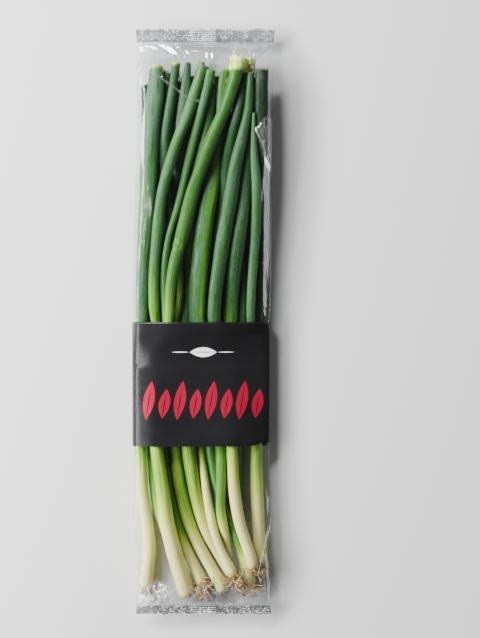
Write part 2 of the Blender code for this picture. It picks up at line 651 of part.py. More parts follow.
def label_band(film, parts, cutters):
    ys, reach, directions = film
    stops = [BAND_FOOT, *[float(y) for y in ys if BAND_FOOT + 2 < y < BAND_HEAD - 2], BAND_HEAD]
    sleeves = []
    for out, spare in ((BAND_GAP + BAND_THICKNESS, 0.0), (BAND_GAP, 3.0)):
        rings = [taut_ring(y, reach_at(y, ys, reach) + out, directions) for y in stops]
        if spare:
            rings.insert(0, [(x, y - spare, z) for x, y, z in rings[0]])
            rings.append([(x, y + spare, z) for x, y, z in rings[-1]])
        sleeves.append(loft(rings))
    band = mesh_object("label_band", sleeves[0], parts, False)
    boolean(band, mesh_object("band_inside", sleeves[1], cutters), "DIFFERENCE")
    paint(band, "band_print", COLOURS["band"], 0.35)


def main():
    for thing in list(bpy.data.objects):
        bpy.data.objects.remove(thing)
    parts = bpy.data.collections.new("spring_onion_bunch")
    cutters = bpy.data.collections.new("cutters")
    for collection in (parts, cutters):
        bpy.context.scene.collection.children.link(collection)

    strands = settle(lay_out())
    shanks = {s["plant"]: s for s in strands if s["part"] == 0}
    directions = slopes()
    film = (*film_reach(strands, directions), directions)
    for number, shank in shanks.items():
        own = [s for s in strands if s["plant"] == number and s["part"] > 0]
        body = mesh_object(f"shank_{number:02d}", loft(shank_rings(shank)), parts)
        paint(body, f"shank_{number:02d}", COLOURS["shank"], 0.45)

        neck = mesh_object(f"leaves_{number:02d}", loft(neck_rings(shank, own)), parts)
        for k, leaf in enumerate(own):
            blade = mesh_object(f"leaf_{number:02d}_{k}", loft(leaf_rings(leaf, k)), cutters)
            boolean(neck, blade, "UNION")
        tint = COLOURS["bright" if number in BRIGHT_PLANTS else "leaves"]
        paint(neck, f"leaves_{number:02d}", tint, 0.5)

        plate, tubes = root_skins(number, shanks, film)
        foot = mesh_object(f"roots_{number:02d}", loft(plate), parts)
        if tubes:
            hairs = mesh_object(f"hairs_{number:02d}", merged([loft(t) for t in tubes]), cutters)
            boolean(foot, hairs, "UNION", own_overlaps=True)
        paint(foot, f"roots_{number:02d}", COLOURS["roots"], 0.85)
    film_bag(strands, film, parts, cutters)
    label_band(film, parts, cutters)
    for thing in cutters.objects:
        thing.hide_render = True
        thing.display_type = "WIRE"


main()
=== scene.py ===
"""The looks of a bunch of spring onions in a clear film pack with a dark band.

Lengths in this file are millimetres, and become metres where meshes and lamps are made.
+Y runs from the roots to the leaf tops, +Z up out of the pack's face.
"""

import math
import random

import bpy
import numpy as np
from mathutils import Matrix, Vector, noise

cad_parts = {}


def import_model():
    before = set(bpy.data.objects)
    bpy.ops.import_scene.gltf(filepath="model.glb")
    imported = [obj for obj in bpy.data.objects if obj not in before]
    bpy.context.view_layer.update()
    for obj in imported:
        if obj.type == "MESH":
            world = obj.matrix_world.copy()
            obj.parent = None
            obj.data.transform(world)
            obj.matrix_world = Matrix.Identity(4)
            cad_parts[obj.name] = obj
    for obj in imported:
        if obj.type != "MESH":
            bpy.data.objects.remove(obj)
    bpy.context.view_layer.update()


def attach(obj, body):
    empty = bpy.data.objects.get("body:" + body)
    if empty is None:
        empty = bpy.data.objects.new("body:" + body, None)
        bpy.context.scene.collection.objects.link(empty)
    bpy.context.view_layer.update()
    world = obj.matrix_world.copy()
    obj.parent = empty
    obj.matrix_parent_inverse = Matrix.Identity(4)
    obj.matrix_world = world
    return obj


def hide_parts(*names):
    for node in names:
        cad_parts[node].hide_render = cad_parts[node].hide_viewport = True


MM = 0.001

# The pack and its band.
BAND_FOOT = -84.5
BAND_HEAD = -0.5
BAND_THICKNESS = 0.55
BAND_GAP = 0.3
BAND_EASE = 14.0
ROOT_SEAL_AT = -194.0
TOP_SEAL_AT = 190.5
SEAL_HEIGHT = 6.5
FILM_CLEARANCE = 0.55

# The two long edges of the filled pack, as (y, x).
LEFT_EDGE = (
    (-200, -46.5), (-190, -44.5), (-160, -46.4), (-85, -48.6), (0, -48.6), (60, -47.4), (130, -44.5),
    (200, -45.5),
)
RIGHT_EDGE = (
    (-200, 46.0), (-190, 45.0), (-160, 46.4), (-85, 45.2), (0, 45.6), (80, 46.6), (165, 46.6), (200, 48.5),
)

# How the pile settles, and the film is drawn taut over it.
STATION = 5.0
STATIONS = np.arange(-200.0, 200.1, STATION)
SETTLE_STEPS = 1200
LAST_STEPS = 60
TAUT_STEPS = 260
STRAND_GAP = 0.7
FLOOR = 1.05
SINK = 0.06
SHANK_STEP = 12.0
LEAF_STEP = 15.0

# How finely things are made: sides of the rings, the film's directions, points across a face and a back.
STRAND_SIDES = 32
NECK_SIDES = 28
PLATE_SIDES = 20
ROOT_SIDES = 5
DIRECTIONS = 180
FILM_FACE, FILM_BACK = 190, 70
BAND_FACE, BAND_BACK = 130, 60
SEAL_ROWS, SEAL_COLUMNS = 26, 380

# The finish of a strand reads its noise on a tube of this radius, whatever its own.
GRAIN_RADIUS = 4.5

# How firmly a strand keeps its route while the pile settles, by where it lies.
FRONT, MIDDLE, BACK = 0.50, 0.12, 0.03


def strand(height, hold, flat, *route):
    """A strand that starts out at a height in the pile, along a route of (y, x, width) points."""
    return {"height": height, "hold": hold, "flat": flat, "route": route}


# A group for each plant: its shank up to the neck, then its leaves from there, front to back.
PLANTS = (
    (
        strand(12, FRONT, 1.0, (-182, -39.9, 7.6), (-168, -38, 8.6), (-153, -36.3, 9.0), (-139, -37.6, 8.8),
            (-110, -42.2, 8.4), (-85, -43.4, 7.8), (-30, -42.6, 7.6)),
        strand(17, FRONT, 0.62, (-30, -42.6, 7.0), (0, -41.4, 7.0), (44, -39.6, 8.0), (65, -38.4, 9.2),
            (89, -37.2, 10.0), (110, -36.4, 11.2), (125, -35, 12.2), (138, -33.6, 12.6), (150, -31.6, 12.4),
            (162, -30, 11.4), (175, -28, 9.5)),
        strand(11, FRONT, 0.8, (-30, -42.6, 6.0), (0, -44.4, 5.6), (50, -44, 5.8), (90, -42, 6.0),
            (105, -39, 5.6), (118, -35.5, 4.6)),
        strand(5, BACK, 0.75, (-30, -42.6, 6.0), (20, -40, 7.5), (70, -37, 8.5), (120, -33, 8.5),
            (162, -29, 7.5)),
    ),
    (
        strand(16, FRONT, 1.0, (-187, -10.5, 10.0), (-176, -14.6, 11.2), (-164, -19.3, 11.2),
            (-139, -25.2, 10.4), (-113, -27.5, 9.4), (-85, -32, 9.3), (-10, -33.7, 7.5)),
        strand(17, FRONT, 0.85, (-10, -33.7, 7.0), (11, -33.7, 7.2), (37, -32.5, 7.2), (64, -29.6, 8.0),
            (86, -26.3, 8.0), (105, -22.4, 8.0), (118, -18.1, 8.2), (131, -13.6, 8.3), (144, -8, 8.3),
            (158, -3.7, 8.3), (175, 1, 7.0)),
        strand(11, MIDDLE, 0.5, (-10, -33.7, 6.0), (50, -27, 8.0), (100, -20.5, 8.6), (120, -17.5, 8.6),
            (145, -13.2, 8.0), (160, -11.5, 7.4), (169, -10.6, 5.4), (177, -9.6, 3.6)),
        strand(5, BACK, 0.75, (-10, -33.7, 7.0), (50, -25, 8.5), (110, -16, 8.5), (165, -9, 7.5)),
    ),
    (
        strand(15, FRONT, 1.0, (-184, 15.6, 9.0), (-176, 11.2, 9.6), (-164, 3.3, 9.0), (-139, -10.2, 8.6),
            (-113, -17, 8.2), (-85, -21, 7.6), (-40, -25, 7.2)),
        strand(17, FRONT, 0.85, (-40, -25, 6.6), (-20, -26.8, 6.8), (0, -26.4, 7.0), (20, -25.4, 7.4),
            (37, -22.8, 8.2), (50, -18.3, 9.4), (64, -14.3, 9.8), (76, -11.6, 9.3), (92, -7.3, 9.0),
            (105, -2.6, 9.4), (118, 2.2, 9.8), (131, 7.7, 9.8), (144, 13.1, 9.4), (165, 20, 9.0),
            (179, 22, 10.2)),
        strand(9, BACK, 0.8, (-40, -25, 5.0), (0, -24, 5.0), (50, -20, 5.0), (90, -17, 5.0),
            (130, -11, 5.0), (160, -6.5, 4.5), (178, -4.9, 4.0)),
        strand(5, BACK, 0.75, (-40, -25, 6.0), (0, -22, 7.0), (50, -18, 7.0), (90, -12, 7.8),
            (130, -4, 8.5), (172, 3, 7.5)),
    ),
    (
        strand(6, MIDDLE, 1.0, (-180, 0, 8.5), (-164, -6.8, 8.6), (-142, -15, 8.0), (-120, -21, 7.5),
            (-85, -25, 7.5), (-40, -27, 7.0)),
        strand(14, FRONT, 0.85, (-40, -27, 5.0), (0, -29, 5.0), (25, -28, 5.0), (50, -25, 5.0),
            (64, -22.4, 5.2), (82, -16.4, 5.6), (101, -11.4, 5.8), (121, -6.8, 6.4), (136, -2.2, 6.4),
            (150, 2, 6.2), (171, 7.6, 6.2)),
        strand(9, MIDDLE, 0.8, (-40, -27, 6.0), (20, -27, 7.0), (60, -27.5, 7.5), (100, -27, 7.5),
            (130, -24.5, 7.0), (150, -22.5, 6.5), (177, -20.2, 5.5)),
    ),
    (
        strand(9, MIDDLE, 1.0, (-175, 16, 7.5), (-157, 5.4, 7.6), (-138, -1.7, 8.0), (-113, -6.8, 9.0),
            (-85, -12.2, 10.2), (0, -15.2, 8.0), (20, -16.5, 7.5)),
        strand(10, MIDDLE, 0.8, (20, -16.5, 7.0), (44, -12.9, 8.0), (64, -7.8, 8.5), (92, -2, 8.5),
            (131, 8, 8.5), (169, 13.5, 7.5)),
        strand(4, BACK, 0.75, (20, -16.5, 7.0), (60, -6, 8.5), (110, 6, 8.5), (165, 16, 7.5)),
    ),
    (
        strand(17, FRONT, 1.0, (-174, 21, 6.4), (-164, 15.6, 6.4), (-151, 8.6, 6.2), (-119, 1.6, 6.0),
            (-85, -2, 5.6), (-50, -3, 5.4)),
        strand(5, BACK, 0.75, (-50, -3, 5.0), (0, -1, 7.0), (60, 7, 8.0), (120, 17, 8.0), (172, 26, 7.0)),
        strand(8, BACK, 0.75, (-50, -3, 5.0), (0, -8, 6.0), (60, -4, 6.5), (120, 8, 6.5), (160, 12, 5.0)),
    ),
    (
        strand(12, FRONT, 1.0, (-160, 14.6, 6.2), (-148, 12.8, 6.8), (-126, 11.2, 7.0), (-85, 12.2, 7.5),
            (-40, 9, 7.5)),
        strand(17, FRONT, 0.82, (-40, 9, 7.0), (0, 5.5, 9.0), (24, 8.1, 9.3), (51, 13.1, 10.0),
            (64, 15.6, 10.0), (82, 20, 10.0), (97, 22.6, 9.6), (112, 25.2, 8.8), (121, 27.3, 7.8),
            (131, 29.3, 6.8), (150, 32.3, 5.8), (170, 34.8, 4.8)),
        strand(5, BACK, 0.75, (-40, 9, 7.0), (0, 10, 8.0), (60, 16, 8.5), (120, 27, 8.0), (168, 34, 7.0)),
    ),
    (
        strand(7, MIDDLE, 1.0, (-180, 32.6, 8.8), (-161, 25.6, 8.8), (-139, 17, 8.2), (-118, 9, 7.6),
            (-85, 4.4, 7.2), (-60, 2, 7.0)),
        strand(14, FRONT, 0.6, (-60, 2, 7.0), (-30, -3, 9.5), (0, -5.4, 10.8), (24, -4.6, 12.0),
            (51, -2.3, 12.2), (64, 0, 12.0), (82, 3.9, 11.0), (98, 8, 10.0), (114, 11.6, 9.2),
            (130, 13.8, 8.4), (150, 14.6, 7.6), (172, 14.8, 6.8)),
        strand(10, MIDDLE, 0.8, (-60, 2, 6.0), (0, 11, 8.0), (60, 13, 8.5), (90, 16.5, 8.0),
            (108, 19.4, 7.5), (120, 22, 7.5), (131, 24.6, 7.5), (153, 28, 7.6), (180, 31, 8.0)),
    ),
    (
        strand(13, FRONT, 1.0, (-168, 34, 7.4), (-151, 28.3, 7.8), (-139, 23.5, 8.2), (-113, 19, 8.0),
            (-85, 17, 7.6), (-30, 18.5, 7.5)),
        strand(11, MIDDLE, 0.75, (-30, 18.5, 8.0), (0, 20, 10.0), (24, 22.6, 10.0), (51, 25, 9.6),
            (64, 26, 9.0), (90, 29, 8.5), (130, 34, 8.0), (166, 37, 7.0)),
        strand(4, BACK, 0.75, (-30, 18.5, 6.0), (20, 22, 7.5), (80, 29, 8.0), (130, 36, 7.5), (162, 38, 7.0)),
    ),
    (
        strand(9, FRONT, 1.0, (-167, 40.5, 9.2), (-151, 39, 8.8), (-126, 36.9, 8.8), (-85, 35.4, 9.0),
            (-30, 34, 7.5)),
        strand(19, FRONT, 0.8, (-30, 34, 5.0), (0, 29.6, 5.6), (24, 31.8, 6.2), (51, 34.2, 6.8),
            (64, 35.2, 7.0), (89, 35.6, 6.6), (105, 35.4, 5.8), (118, 34.8, 4.8), (131, 33.2, 3.2),
            (141, 31.8, 1.6)),
        strand(12, MIDDLE, 0.5, (-30, 34, 6.0), (0, 37.5, 7.0), (37, 38.6, 7.0), (64, 38.8, 7.0),
            (90, 38.6, 7.5), (118, 38.4, 8.0), (137, 38.6, 9.0), (150, 39.2, 9.6), (171, 40.4, 9.6)),
        strand(4, BACK, 0.8, (-30, 34, 6.0), (10, 39, 7.5), (60, 40, 8.0), (120, 40, 8.0), (156, 39, 7.0)),
    ),
    (
        strand(4, FRONT, 1.0, (-160, -20.5, 5.4), (-151, -23, 6.0), (-141, -27, 6.8), (-132, -31.5, 7.6),
            (-113, -35, 7.8), (-85, -38.2, 7.4), (-40, -38, 7.0)),
        strand(4, BACK, 0.75, (-40, -38, 6.0), (20, -36, 8.0), (80, -30, 8.5), (130, -24, 8.5),
            (172, -21, 7.5)),
        strand(7, BACK, 0.75, (-40, -38, 6.0), (20, -35, 6.6), (80, -26, 7.0), (130, -12, 7.0),
            (168, -3, 7.0)),
    ),
    (
        strand(4, FRONT, 1.0, (-128, 22.5, 6.2), (-113, 22.3, 6.8), (-85, 22.3, 7.4), (-40, 26, 7.2)),
        strand(5, BACK, 0.75, (-40, 26, 6.0), (10, 30, 7.5), (70, 33, 8.0), (120, 37, 7.5), (160, 40, 7.0)),
        strand(8, BACK, 0.75, (-40, 26, 6.0), (10, 27, 6.5), (70, 25, 7.0), (130, 27, 7.0), (170, 20, 6.0)),
    ),
)


# Where each shank turns from cream to green, over how far, and how green it gets by the band.
WHITENING = (
    (-103, 36, 0.36), (-133, 64, 0.36), (-146, 62, 0.38), (-152, 24, 0.4), (-136, 62, 0.38), (-100, 46, 0.36),
    (-138, 48, 0.47), (-160, 34, 0.56), (-108, 56, 0.34), (-119, 56, 0.34), (-140, 50, 0.4), (-150, 40, 0.46),
)

# Each leaf's look, front to back: how dark its green is, its blue bloom, and where it turns green.
LEAF_LOOKS = (
    ((0.66, 0.95, -20), (0.46, 0.05, 30), (0.95, 0.2, 0)),
    ((0.66, 0.55, 35), (0.86, 0.45, 10), (1.00, 0.2, 0)),
    ((0.62, 0.00, 30), (0.62, 0.80, 62), (1.00, 0.2, 0)),
    ((0.66, 0.55, 10), (0.80, 0.35, 0)),
    ((0.62, 0.3, 90), (1.00, 0.2, 0)),
    ((1.00, 0.2, 0), (0.90, 0.2, 0)),
    ((0.74, 0.40, -15), (1.00, 0.2, 0)),
    ((0.66, 0.75, -30), (0.76, 0.50, 0)),
    ((0.78, 0.30, 16), (0.90, 0.2, 0)),
    ((0.62, 0.80, -10), (1.10, 0.0, 0), (1.00, 0.2, 0)),
    ((1.00, 0.2, 0), (1.00, 0.2, 0)),
    ((1.00, 0.2, 0), (1.00, 0.2, 0)),
)

# Leaf tops that end in a rough pale stump of older layers: (plant, leaf) to length and girth.
STUMPS = {(3, 0): (10.5, 1.24), (8, 1): (10.0, 1.3), (1, 0): (3.0, 1.04), (4, 1): (3.0, 1.05)}

# How far above the shank the rings of its neck are.
NECK_RINGS = (0.0, 3.0, 6.0, 10.0, 14.0, 18.0)

# A leaf with less than this half width at its top runs to a point, and has no cut.
POINTED = 1.5

# Rings from a leaf's cut edge in to its hollow: share of the wall left, how far back, and how far it is
# painted towards the dry tan, as painted shade deeper into the hollow.
HOLLOW = ((1.0, 0.0, 0.35), (0.5, 0.12, 0.5), (0.0, 0.25, 0.55), (0.0, 3.0, 0.9), (0.1, 9.0, 1.0))


def smoothstep(t):
    t = np.clip(t, 0.0, 1.0)
    return t * t * (3.0 - 2.0 * t)


def rounded(values, times):
    """Values with the corners between them rounded. The first and the last stay."""
    for _ in range(times):
        values[1:-1] = 0.25 * values[:-2] + 0.5 * values[1:-1] + 0.25 * values[2:]
    return values


def along(points, ys):
    """Values of (y, value) points at ys, with the corners between the points rounded."""
    close = np.arange(-210.0, 210.1, 2.5)
    table = np.array(sorted(points), float)
    return np.interp(ys, close, rounded(np.interp(close, table[:, 0], table[:, 1]), 8))


def turns(sides, offset=0.0):
    """The directions of the corners round a ring."""
    return 2.0 * np.pi * (np.arange(sides) + offset) / sides


def rough(x, y, z):
    """Soft noise at each place, about -1 to 1."""
    return np.vectorize(lambda *place: noise.noise(Vector(place)))(x, y, z)


def band_waist(ys):
    """How far the film draws in for the band, 0 to 1."""
    ys = np.asarray(ys, float)
    head = (BAND_HEAD + BAND_EASE - ys) / (BAND_EASE - 2.0)
    foot = (ys - BAND_FOOT + BAND_EASE) / (BAND_EASE - 2.0)
    return np.clip(np.minimum(head, foot), 0.0, 1.0)


def floor_height(ys):
    """How far the band lifts the pile off the surface, and draws the film in at the sides."""
    return (BAND_THICKNESS + BAND_GAP) * band_waist(ys)


def from_seals(ys, over):
    """0 at the end seals, up to 1 at so many millimetres into the pack."""
    middle, half = -2.0, 194.0
    return smoothstep((half - np.abs(ys - middle)) / over)


def station(y):
    """Which of STATIONS y is at, with a fraction."""
    return (y - STATIONS[0]) / STATION


def lay_out():
    """Every strand's centre and half sizes at STATIONS, before the pile settles."""
    strands = []
    for number, plant in enumerate(PLANTS, 1):
        shank_height = plant[0]["height"]
        for part, item in enumerate(plant):
            route = np.array(sorted(item["route"]), float)
            low, high = route[0, 0], route[-1, 0]
            reach = np.clip(STATIONS, low, high)
            half = along([(y, w / 2) for y, _, w in item["route"]], reach)
            z = np.full(len(STATIONS), float(item["height"]))
            if part:
                ease = smoothstep((STATIONS - low) / 45.0)
                z = shank_height + (item["height"] - shank_height) * ease
            x = along([(y, x) for y, x, _ in item["route"]], reach)
            thick = half * item["flat"]
            hold = item["hold"]
            strands.append(
                dict(plant=number, part=part, low=low, high=high, hold=hold, x0=x, z0=z, a=half, b=thick)
            )
    return strands


def settle(strands):
    """Push the strands apart and let them sink until none run through another."""
    keys = ("x0", "z0", "a", "b", "plant", "part", "hold", "low", "high")
    x0, z0, a, b, plant, part, *ends = (np.array([s[key] for s in strands]) for key in keys)
    hold, low, high = (column[:, None] for column in ends)
    x, z = x0.copy(), z0.copy()
    here = (STATIONS >= low - STATION) & (STATIONS <= high + STATION)
    both = (here[:, None] & here[None]).astype(float)
    same = plant[:, None] == plant[None]
    stem = (part[:, None] == 0) | (part[None] == 0)
    ramp = smoothstep((STATIONS - low[:, None, :] - 15.0) / 40.0) * np.ones_like(both)
    both = both * np.where(same[..., None], np.where(stem[..., None], 0.0, ramp), 1.0)
    both[np.arange(len(strands)), np.arange(len(strands))] = 0.0
    wide = a[:, None] + a[None] + STRAND_GAP
    tall = b[:, None] + b[None] + STRAND_GAP
    left = along(LEFT_EDGE, STATIONS) + 1.8
    right = along(RIGHT_EDGE, STATIONS) - 2.2
    floor = FLOOR + floor_height(STATIONS)
    inside = [np.flatnonzero(row) for row in here]

    def keep_in():
        np.clip(x, left + a, right - a, out=x)
        np.maximum(z, floor + b, out=z)

    def push(rate):
        dx, dz = x[:, None] - x[None], z[:, None] - z[None]
        q = np.sqrt((dx / wide) ** 2 + (dz / tall) ** 2) + 1e-6
        more = np.clip(1.0 / np.maximum(q, 0.25) - 1.0, 0.0, None) * both * rate
        x[:] += (dx * more * 0.5).sum(1)
        z[:] += (dz * more * 0.5).sum(1)

    def smooth(grid, base, i, k, rate):
        row = grid[i, k] - base[i, k]
        row[1:-1] += rate * (0.5 * (row[:-2] + row[2:]) - row[1:-1])
        row[-1] += rate * 0.6 * (2.0 * row[-2] - row[-3] - row[-1])
        row[0] += rate * 0.6 * (2.0 * row[1] - row[2] - row[0])
        grid[i, k] = row + base[i, k]

    def join_necks():
        for i in np.flatnonzero(part == 0):
            k = int(round(station(high[i, 0])))
            own = np.flatnonzero((plant == plant[i]) & (part > 0))
            for grid in (x, z):
                ahead = grid[own, k + 1].mean()
                grid[i, k] = 0.5 * grid[i, k] + 0.25 * (grid[i, k - 1] + ahead)
                grid[i, k + 1] = grid[i, k]
                grid[own, k] = grid[i, k]
                grid[own, k - 1] = grid[i, k]

    def tidy_up(rate_x, rate_z):
        for i, k in enumerate(inside):
            smooth(x, x0, i, k, rate_x)
            smooth(z, z0, i, k, rate_z)
        join_necks()
        keep_in()

    for step in range(SETTLE_STEPS):
        calm = 1.0 - step / SETTLE_STEPS
        push(0.55)
        x += hold * 0.35 * calm * (x0 - x)
        z -= SINK * (0.25 + calm)
        tidy_up(0.5, 0.7)
    for _ in range(LAST_STEPS):
        push(0.35)
        tidy_up(0.12, 0.2)
    # What still touches is made thinner there, as the strands will be between their rings.
    rings = [ring_ys(s["low"], s["high"], SHANK_STEP if s["part"] == 0 else LEAF_STEP) for s in strands]

    def as_built(grid):
        rows = zip(rings, grid)
        return np.array([np.interp(STATIONS, ys, np.interp(ys, STATIONS, row)) for ys, row in rows])

    px, pz = as_built(x), as_built(z)
    dx, dz = px[:, None] - px[None], pz[:, None] - pz[None]
    for _ in range(16):
        pa, pb = as_built(a), as_built(b)
        wide = pa[:, None] + pa[None] + STRAND_GAP - 0.3
        tall = pb[:, None] + pb[None] + STRAND_GAP - 0.3
        q = np.sqrt((dx / wide) ** 2 + (dz / tall) ** 2)
        tight = np.where(both > 0.9, np.clip(q, 0.8, 1.0), 1.0).min(1)
        slim = tight.copy()
        for d in (1, 2):
            slim[:, d:] = np.minimum(slim[:, d:], tight[:, :-d])
            slim[:, :-d] = np.minimum(slim[:, :-d], tight[:, d:])
        a *= slim
        b *= slim
    for i, s in enumerate(strands):
        s["x"], s["z"], s["a"], s["b"] = x[i], z[i], a[i], b[i]
    return strands


def at(strand_, y):
    """Centre and half sizes of a settled strand at y."""
    y = min(max(y, strand_["low"]), strand_["high"])
    return [float(np.interp(y, STATIONS, strand_[key])) for key in ("x", "z", "a", "b")]


def ring_ys(low, high, step):
    """low, the round multiples of step between, and high."""
    inner = np.arange(math.ceil(low / step) * step, high, step)
    inner = inner[(inner > low + 0.3 * step) & (inner < high - 0.3 * step)]
    return [low, *inner.tolist(), high]


def link(name, vertices, faces, smooth=True):
    """A mesh object from millimetre vertices."""
    mesh = bpy.data.meshes.new(name)
    mesh.from_pydata((np.asarray(vertices) * MM).tolist(), [], faces)
    mesh.polygons.foreach_set("use_smooth", [smooth] * len(mesh.polygons))
    mesh.update()
    thing = bpy.data.objects.new(name, mesh)
    bpy.context.scene.collection.objects.link(thing)
    return thing


def give(thing, name, values):
    """Store one vector for each vertex, for the finishes to read."""
    layer = thing.data.attributes.new(name, "FLOAT_VECTOR", "POINT")
    layer.data.foreach_set("vector", np.asarray(values, np.float32).ravel())


def columns(points, *values):
    """Up to three values for each point, as one array. The rest are 0."""
    out = np.zeros_like(points)
    for k, value in enumerate(values):
        out[..., k] = value
    return out


class Skin:
    """Vertices, faces and stored values that grow ring by ring into one mesh."""

    def __init__(self):
        self.vertices, self.faces, self.grain, self.tint = [], [], [], []
        self.count = 0

    def rings(self, points, tint, grain=None, cap_low=True, cap_high=True):
        """Add a tube of (rings, sides, 3) arrays. Its finish reads noise at grain, or else at the points."""
        rows, sides = points.shape[:2]
        start = self.count
        self.vertices.append(points.reshape(-1, 3))
        self.grain.append((points if grain is None else grain).reshape(-1, 3))
        self.tint.append(tint.reshape(-1, 3))
        k, i = np.meshgrid(np.arange(rows - 1), np.arange(sides), indexing="ij")
        j = (i + 1) % sides
        quads = np.stack([k * sides + i, (k + 1) * sides + i, (k + 1) * sides + j, k * sides + j], -1)
        self.faces += (quads.reshape(-1, 4) + start).tolist()
        if cap_low:
            self.faces.append([start + i for i in range(sides)])
        top = start + (rows - 1) * sides
        if cap_high:
            self.faces.append([top + i for i in range(sides - 1, -1, -1)])
        self.count += rows * sides

    def build(self, name):
        thing = link(name, np.concatenate(self.vertices), self.faces)
        give(thing, "grain", np.concatenate(self.grain))
        give(thing, "tint", np.concatenate(self.tint))
        return thing


def fine(item, low, high, step):
    """Centre and half sizes of a strand at close steps, with its bends rounded."""
    ys = np.linspace(low, high, max(int((high - low) / step) + 1, 4))
    reach = np.clip(ys, item["low"], item["high"])
    columns = []
    for key in ("x", "z", "a", "b"):
        columns.append(rounded(np.interp(reach, STATIONS, item[key]), int(18 / step)))
    return (ys, *columns)


def wobble(seed, ys, reach, size):
    """A slow random wave along a strand."""
    return size * rough(ys / reach, seed * 7.31, 2.7)


def sections(item, low, high, step, seed, flute):
    """Ring points of a strand, with shallow flutes and ends cut square to its run."""
    ys, x, z, a, b = fine(item, low, high, step)
    a = a * (1.0 + wobble(seed, ys, 23.0, 0.09))
    b = b * (1.0 + wobble(seed + 50, ys, 31.0, 0.10))
    turn = turns(STRAND_SIDES)
    lobes = sum(
        np.sin(n * turn[None] + wobble(seed + 9 * n, ys, 60.0, 5.0)[:, None]) * (1.0 / n) for n in (3, 5, 8)
    )
    swell = 1.0 + flute * lobes * 0.22
    dx = a[:, None] * np.cos(turn)[None] * swell
    dz = b[:, None] * np.sin(turn)[None] * swell
    slope_x, slope_z = np.gradient(x, ys), np.gradient(z, ys)
    near = np.maximum(smoothstep(1 - (ys - low) / 16.0), smoothstep(1 - (high - ys) / 12.0))[:, None]
    shift = -(slope_x[:, None] * dx + slope_z[:, None] * dz) * near
    points = np.stack([x[:, None] + dx, ys[:, None] + shift, z[:, None] + dz], -1)
    grain_x, grain_y = GRAIN_RADIUS * np.cos(turn) + seed * 13.7, GRAIN_RADIUS * np.sin(turn)
    return ys, points, columns(points, grain_x, grain_y, ys[:, None]), turn


# Shanks whose root end was trimmed blunt.
TRIMMED = (2, 3)

# Thin shanks that run out to a point under their neighbours: how far it takes, and what is left.
TAPERED = {7: (26.0, 0.4), 11: (46.0, 0.35)}
WHOLE = (1.0, 1.0)

# Shanks with dry skin at the root end: where it starts, over how far, and how much.
DRY_SKINS = {
    1: (-174, 8, 0.55), 5: (-122, 34, 0.8), 8: (-172, 8, 0.15), 9: (-150, 16, 0.6), 10: (-160, 6, 0.4),
}
FRESH = (-400, 1, 0.0)


def shank_piece(number, shank):
    """The sheathed shank, rounded in to its root plate."""
    low, high = shank["low"], shank["high"]
    ys, points, grain, _ = sections(shank, low, high, 1.5, number, 0.08)
    centre = points.mean(1, keepdims=True)
    blunt = number in TRIMMED
    base = np.clip((ys - low) / (3.0 if blunt else 5.5), 0.0, 1.0)
    least = 0.78 if blunt else 0.5
    shrink = least + (1.0 - least) * np.sqrt(1.0 - (1.0 - base) ** 2)
    belly = 1.0 + 0.05 * np.exp(-(((ys - low - 10.0) / 8.0) ** 2))
    over, left = TAPERED.get(number, WHOLE)
    belly = belly * (1.0 - (1.0 - left) * smoothstep(1.0 - (ys - low) / over))
    points = centre + (points - centre) * (shrink * belly)[:, None, None]
    middle, width, most = WHITENING[number - 1]
    green = smoothstep((ys - middle) / width + 0.5) * most
    green = green + 0.16 * smoothstep((ys + 85.0) / 60.0)
    start, over, most = DRY_SKINS.get(number, FRESH)
    age = np.maximum(0.45 * smoothstep(1.0 - (ys - low) / 5.0), most * smoothstep((start - ys) / over))
    skin = Skin()
    skin.rings(points, columns(points, green[:, None], 0.0, age[:, None]), grain)
    return skin.build(f"shank_{number:02d}_skin")


def mark_leaf(key, points, centre, tint, turn, ripe):
    """What single leaves show: a light edge, a sunny side, a kink. Gives the leaf's points back."""
    if key == (2, 1):
        edge = smoothstep((-np.cos(turn) - 0.84) / 0.1)[None]
        tint[..., 0] += (0.50 - ripe)[:, None] * edge
        tint[..., 1] += 1.3 * edge
    if key == (8, 0):
        sunny = smoothstep((np.cos(turn) + 0.05) / 0.4)[None]
        tint[..., 0] += (0.50 - ripe)[:, None] * sunny
        tint[..., 1] *= 1.0 - sunny
    if key == (3, 0):
        x, y = points[..., 0], points[..., 1]
        slanting = np.exp(-(((y - 52.0 + 1.1 * (x + 16.0)) / 1.0) ** 2))
        kink = np.maximum(slanting, 0.7 * np.exp(-(((y - 48.6) / 0.9) ** 2)))
        points = centre + (points - centre) * (1.0 - 0.22 * kink)[..., None]
        tint[..., 0] -= 0.22 * kink
    return points


def hollow_into(skin, rim, middle, grain, radius):
    """The edge of a leaf's wall at its cut, and the hollow behind it."""
    wall = min(0.75, 0.35 * radius)
    out = rim - middle
    length = np.linalg.norm(out, axis=1, keepdims=True)
    inner = []
    for share, back, _ in HOLLOW:
        ring = middle + out * (1.0 - (1.0 - share) * wall / length)
        ring[:, 1] -= back
        inner.append(ring)
    inner = np.array(inner)
    # The hollow is painted towards the dry tan through the age value, as painted shade that grows deeper in.
    tint = columns(inner, 0.40, 0.0, np.array(HOLLOW)[:, 2:])
    skin.rings(inner, tint, np.broadcast_to(grain, inner.shape), cap_low=False)


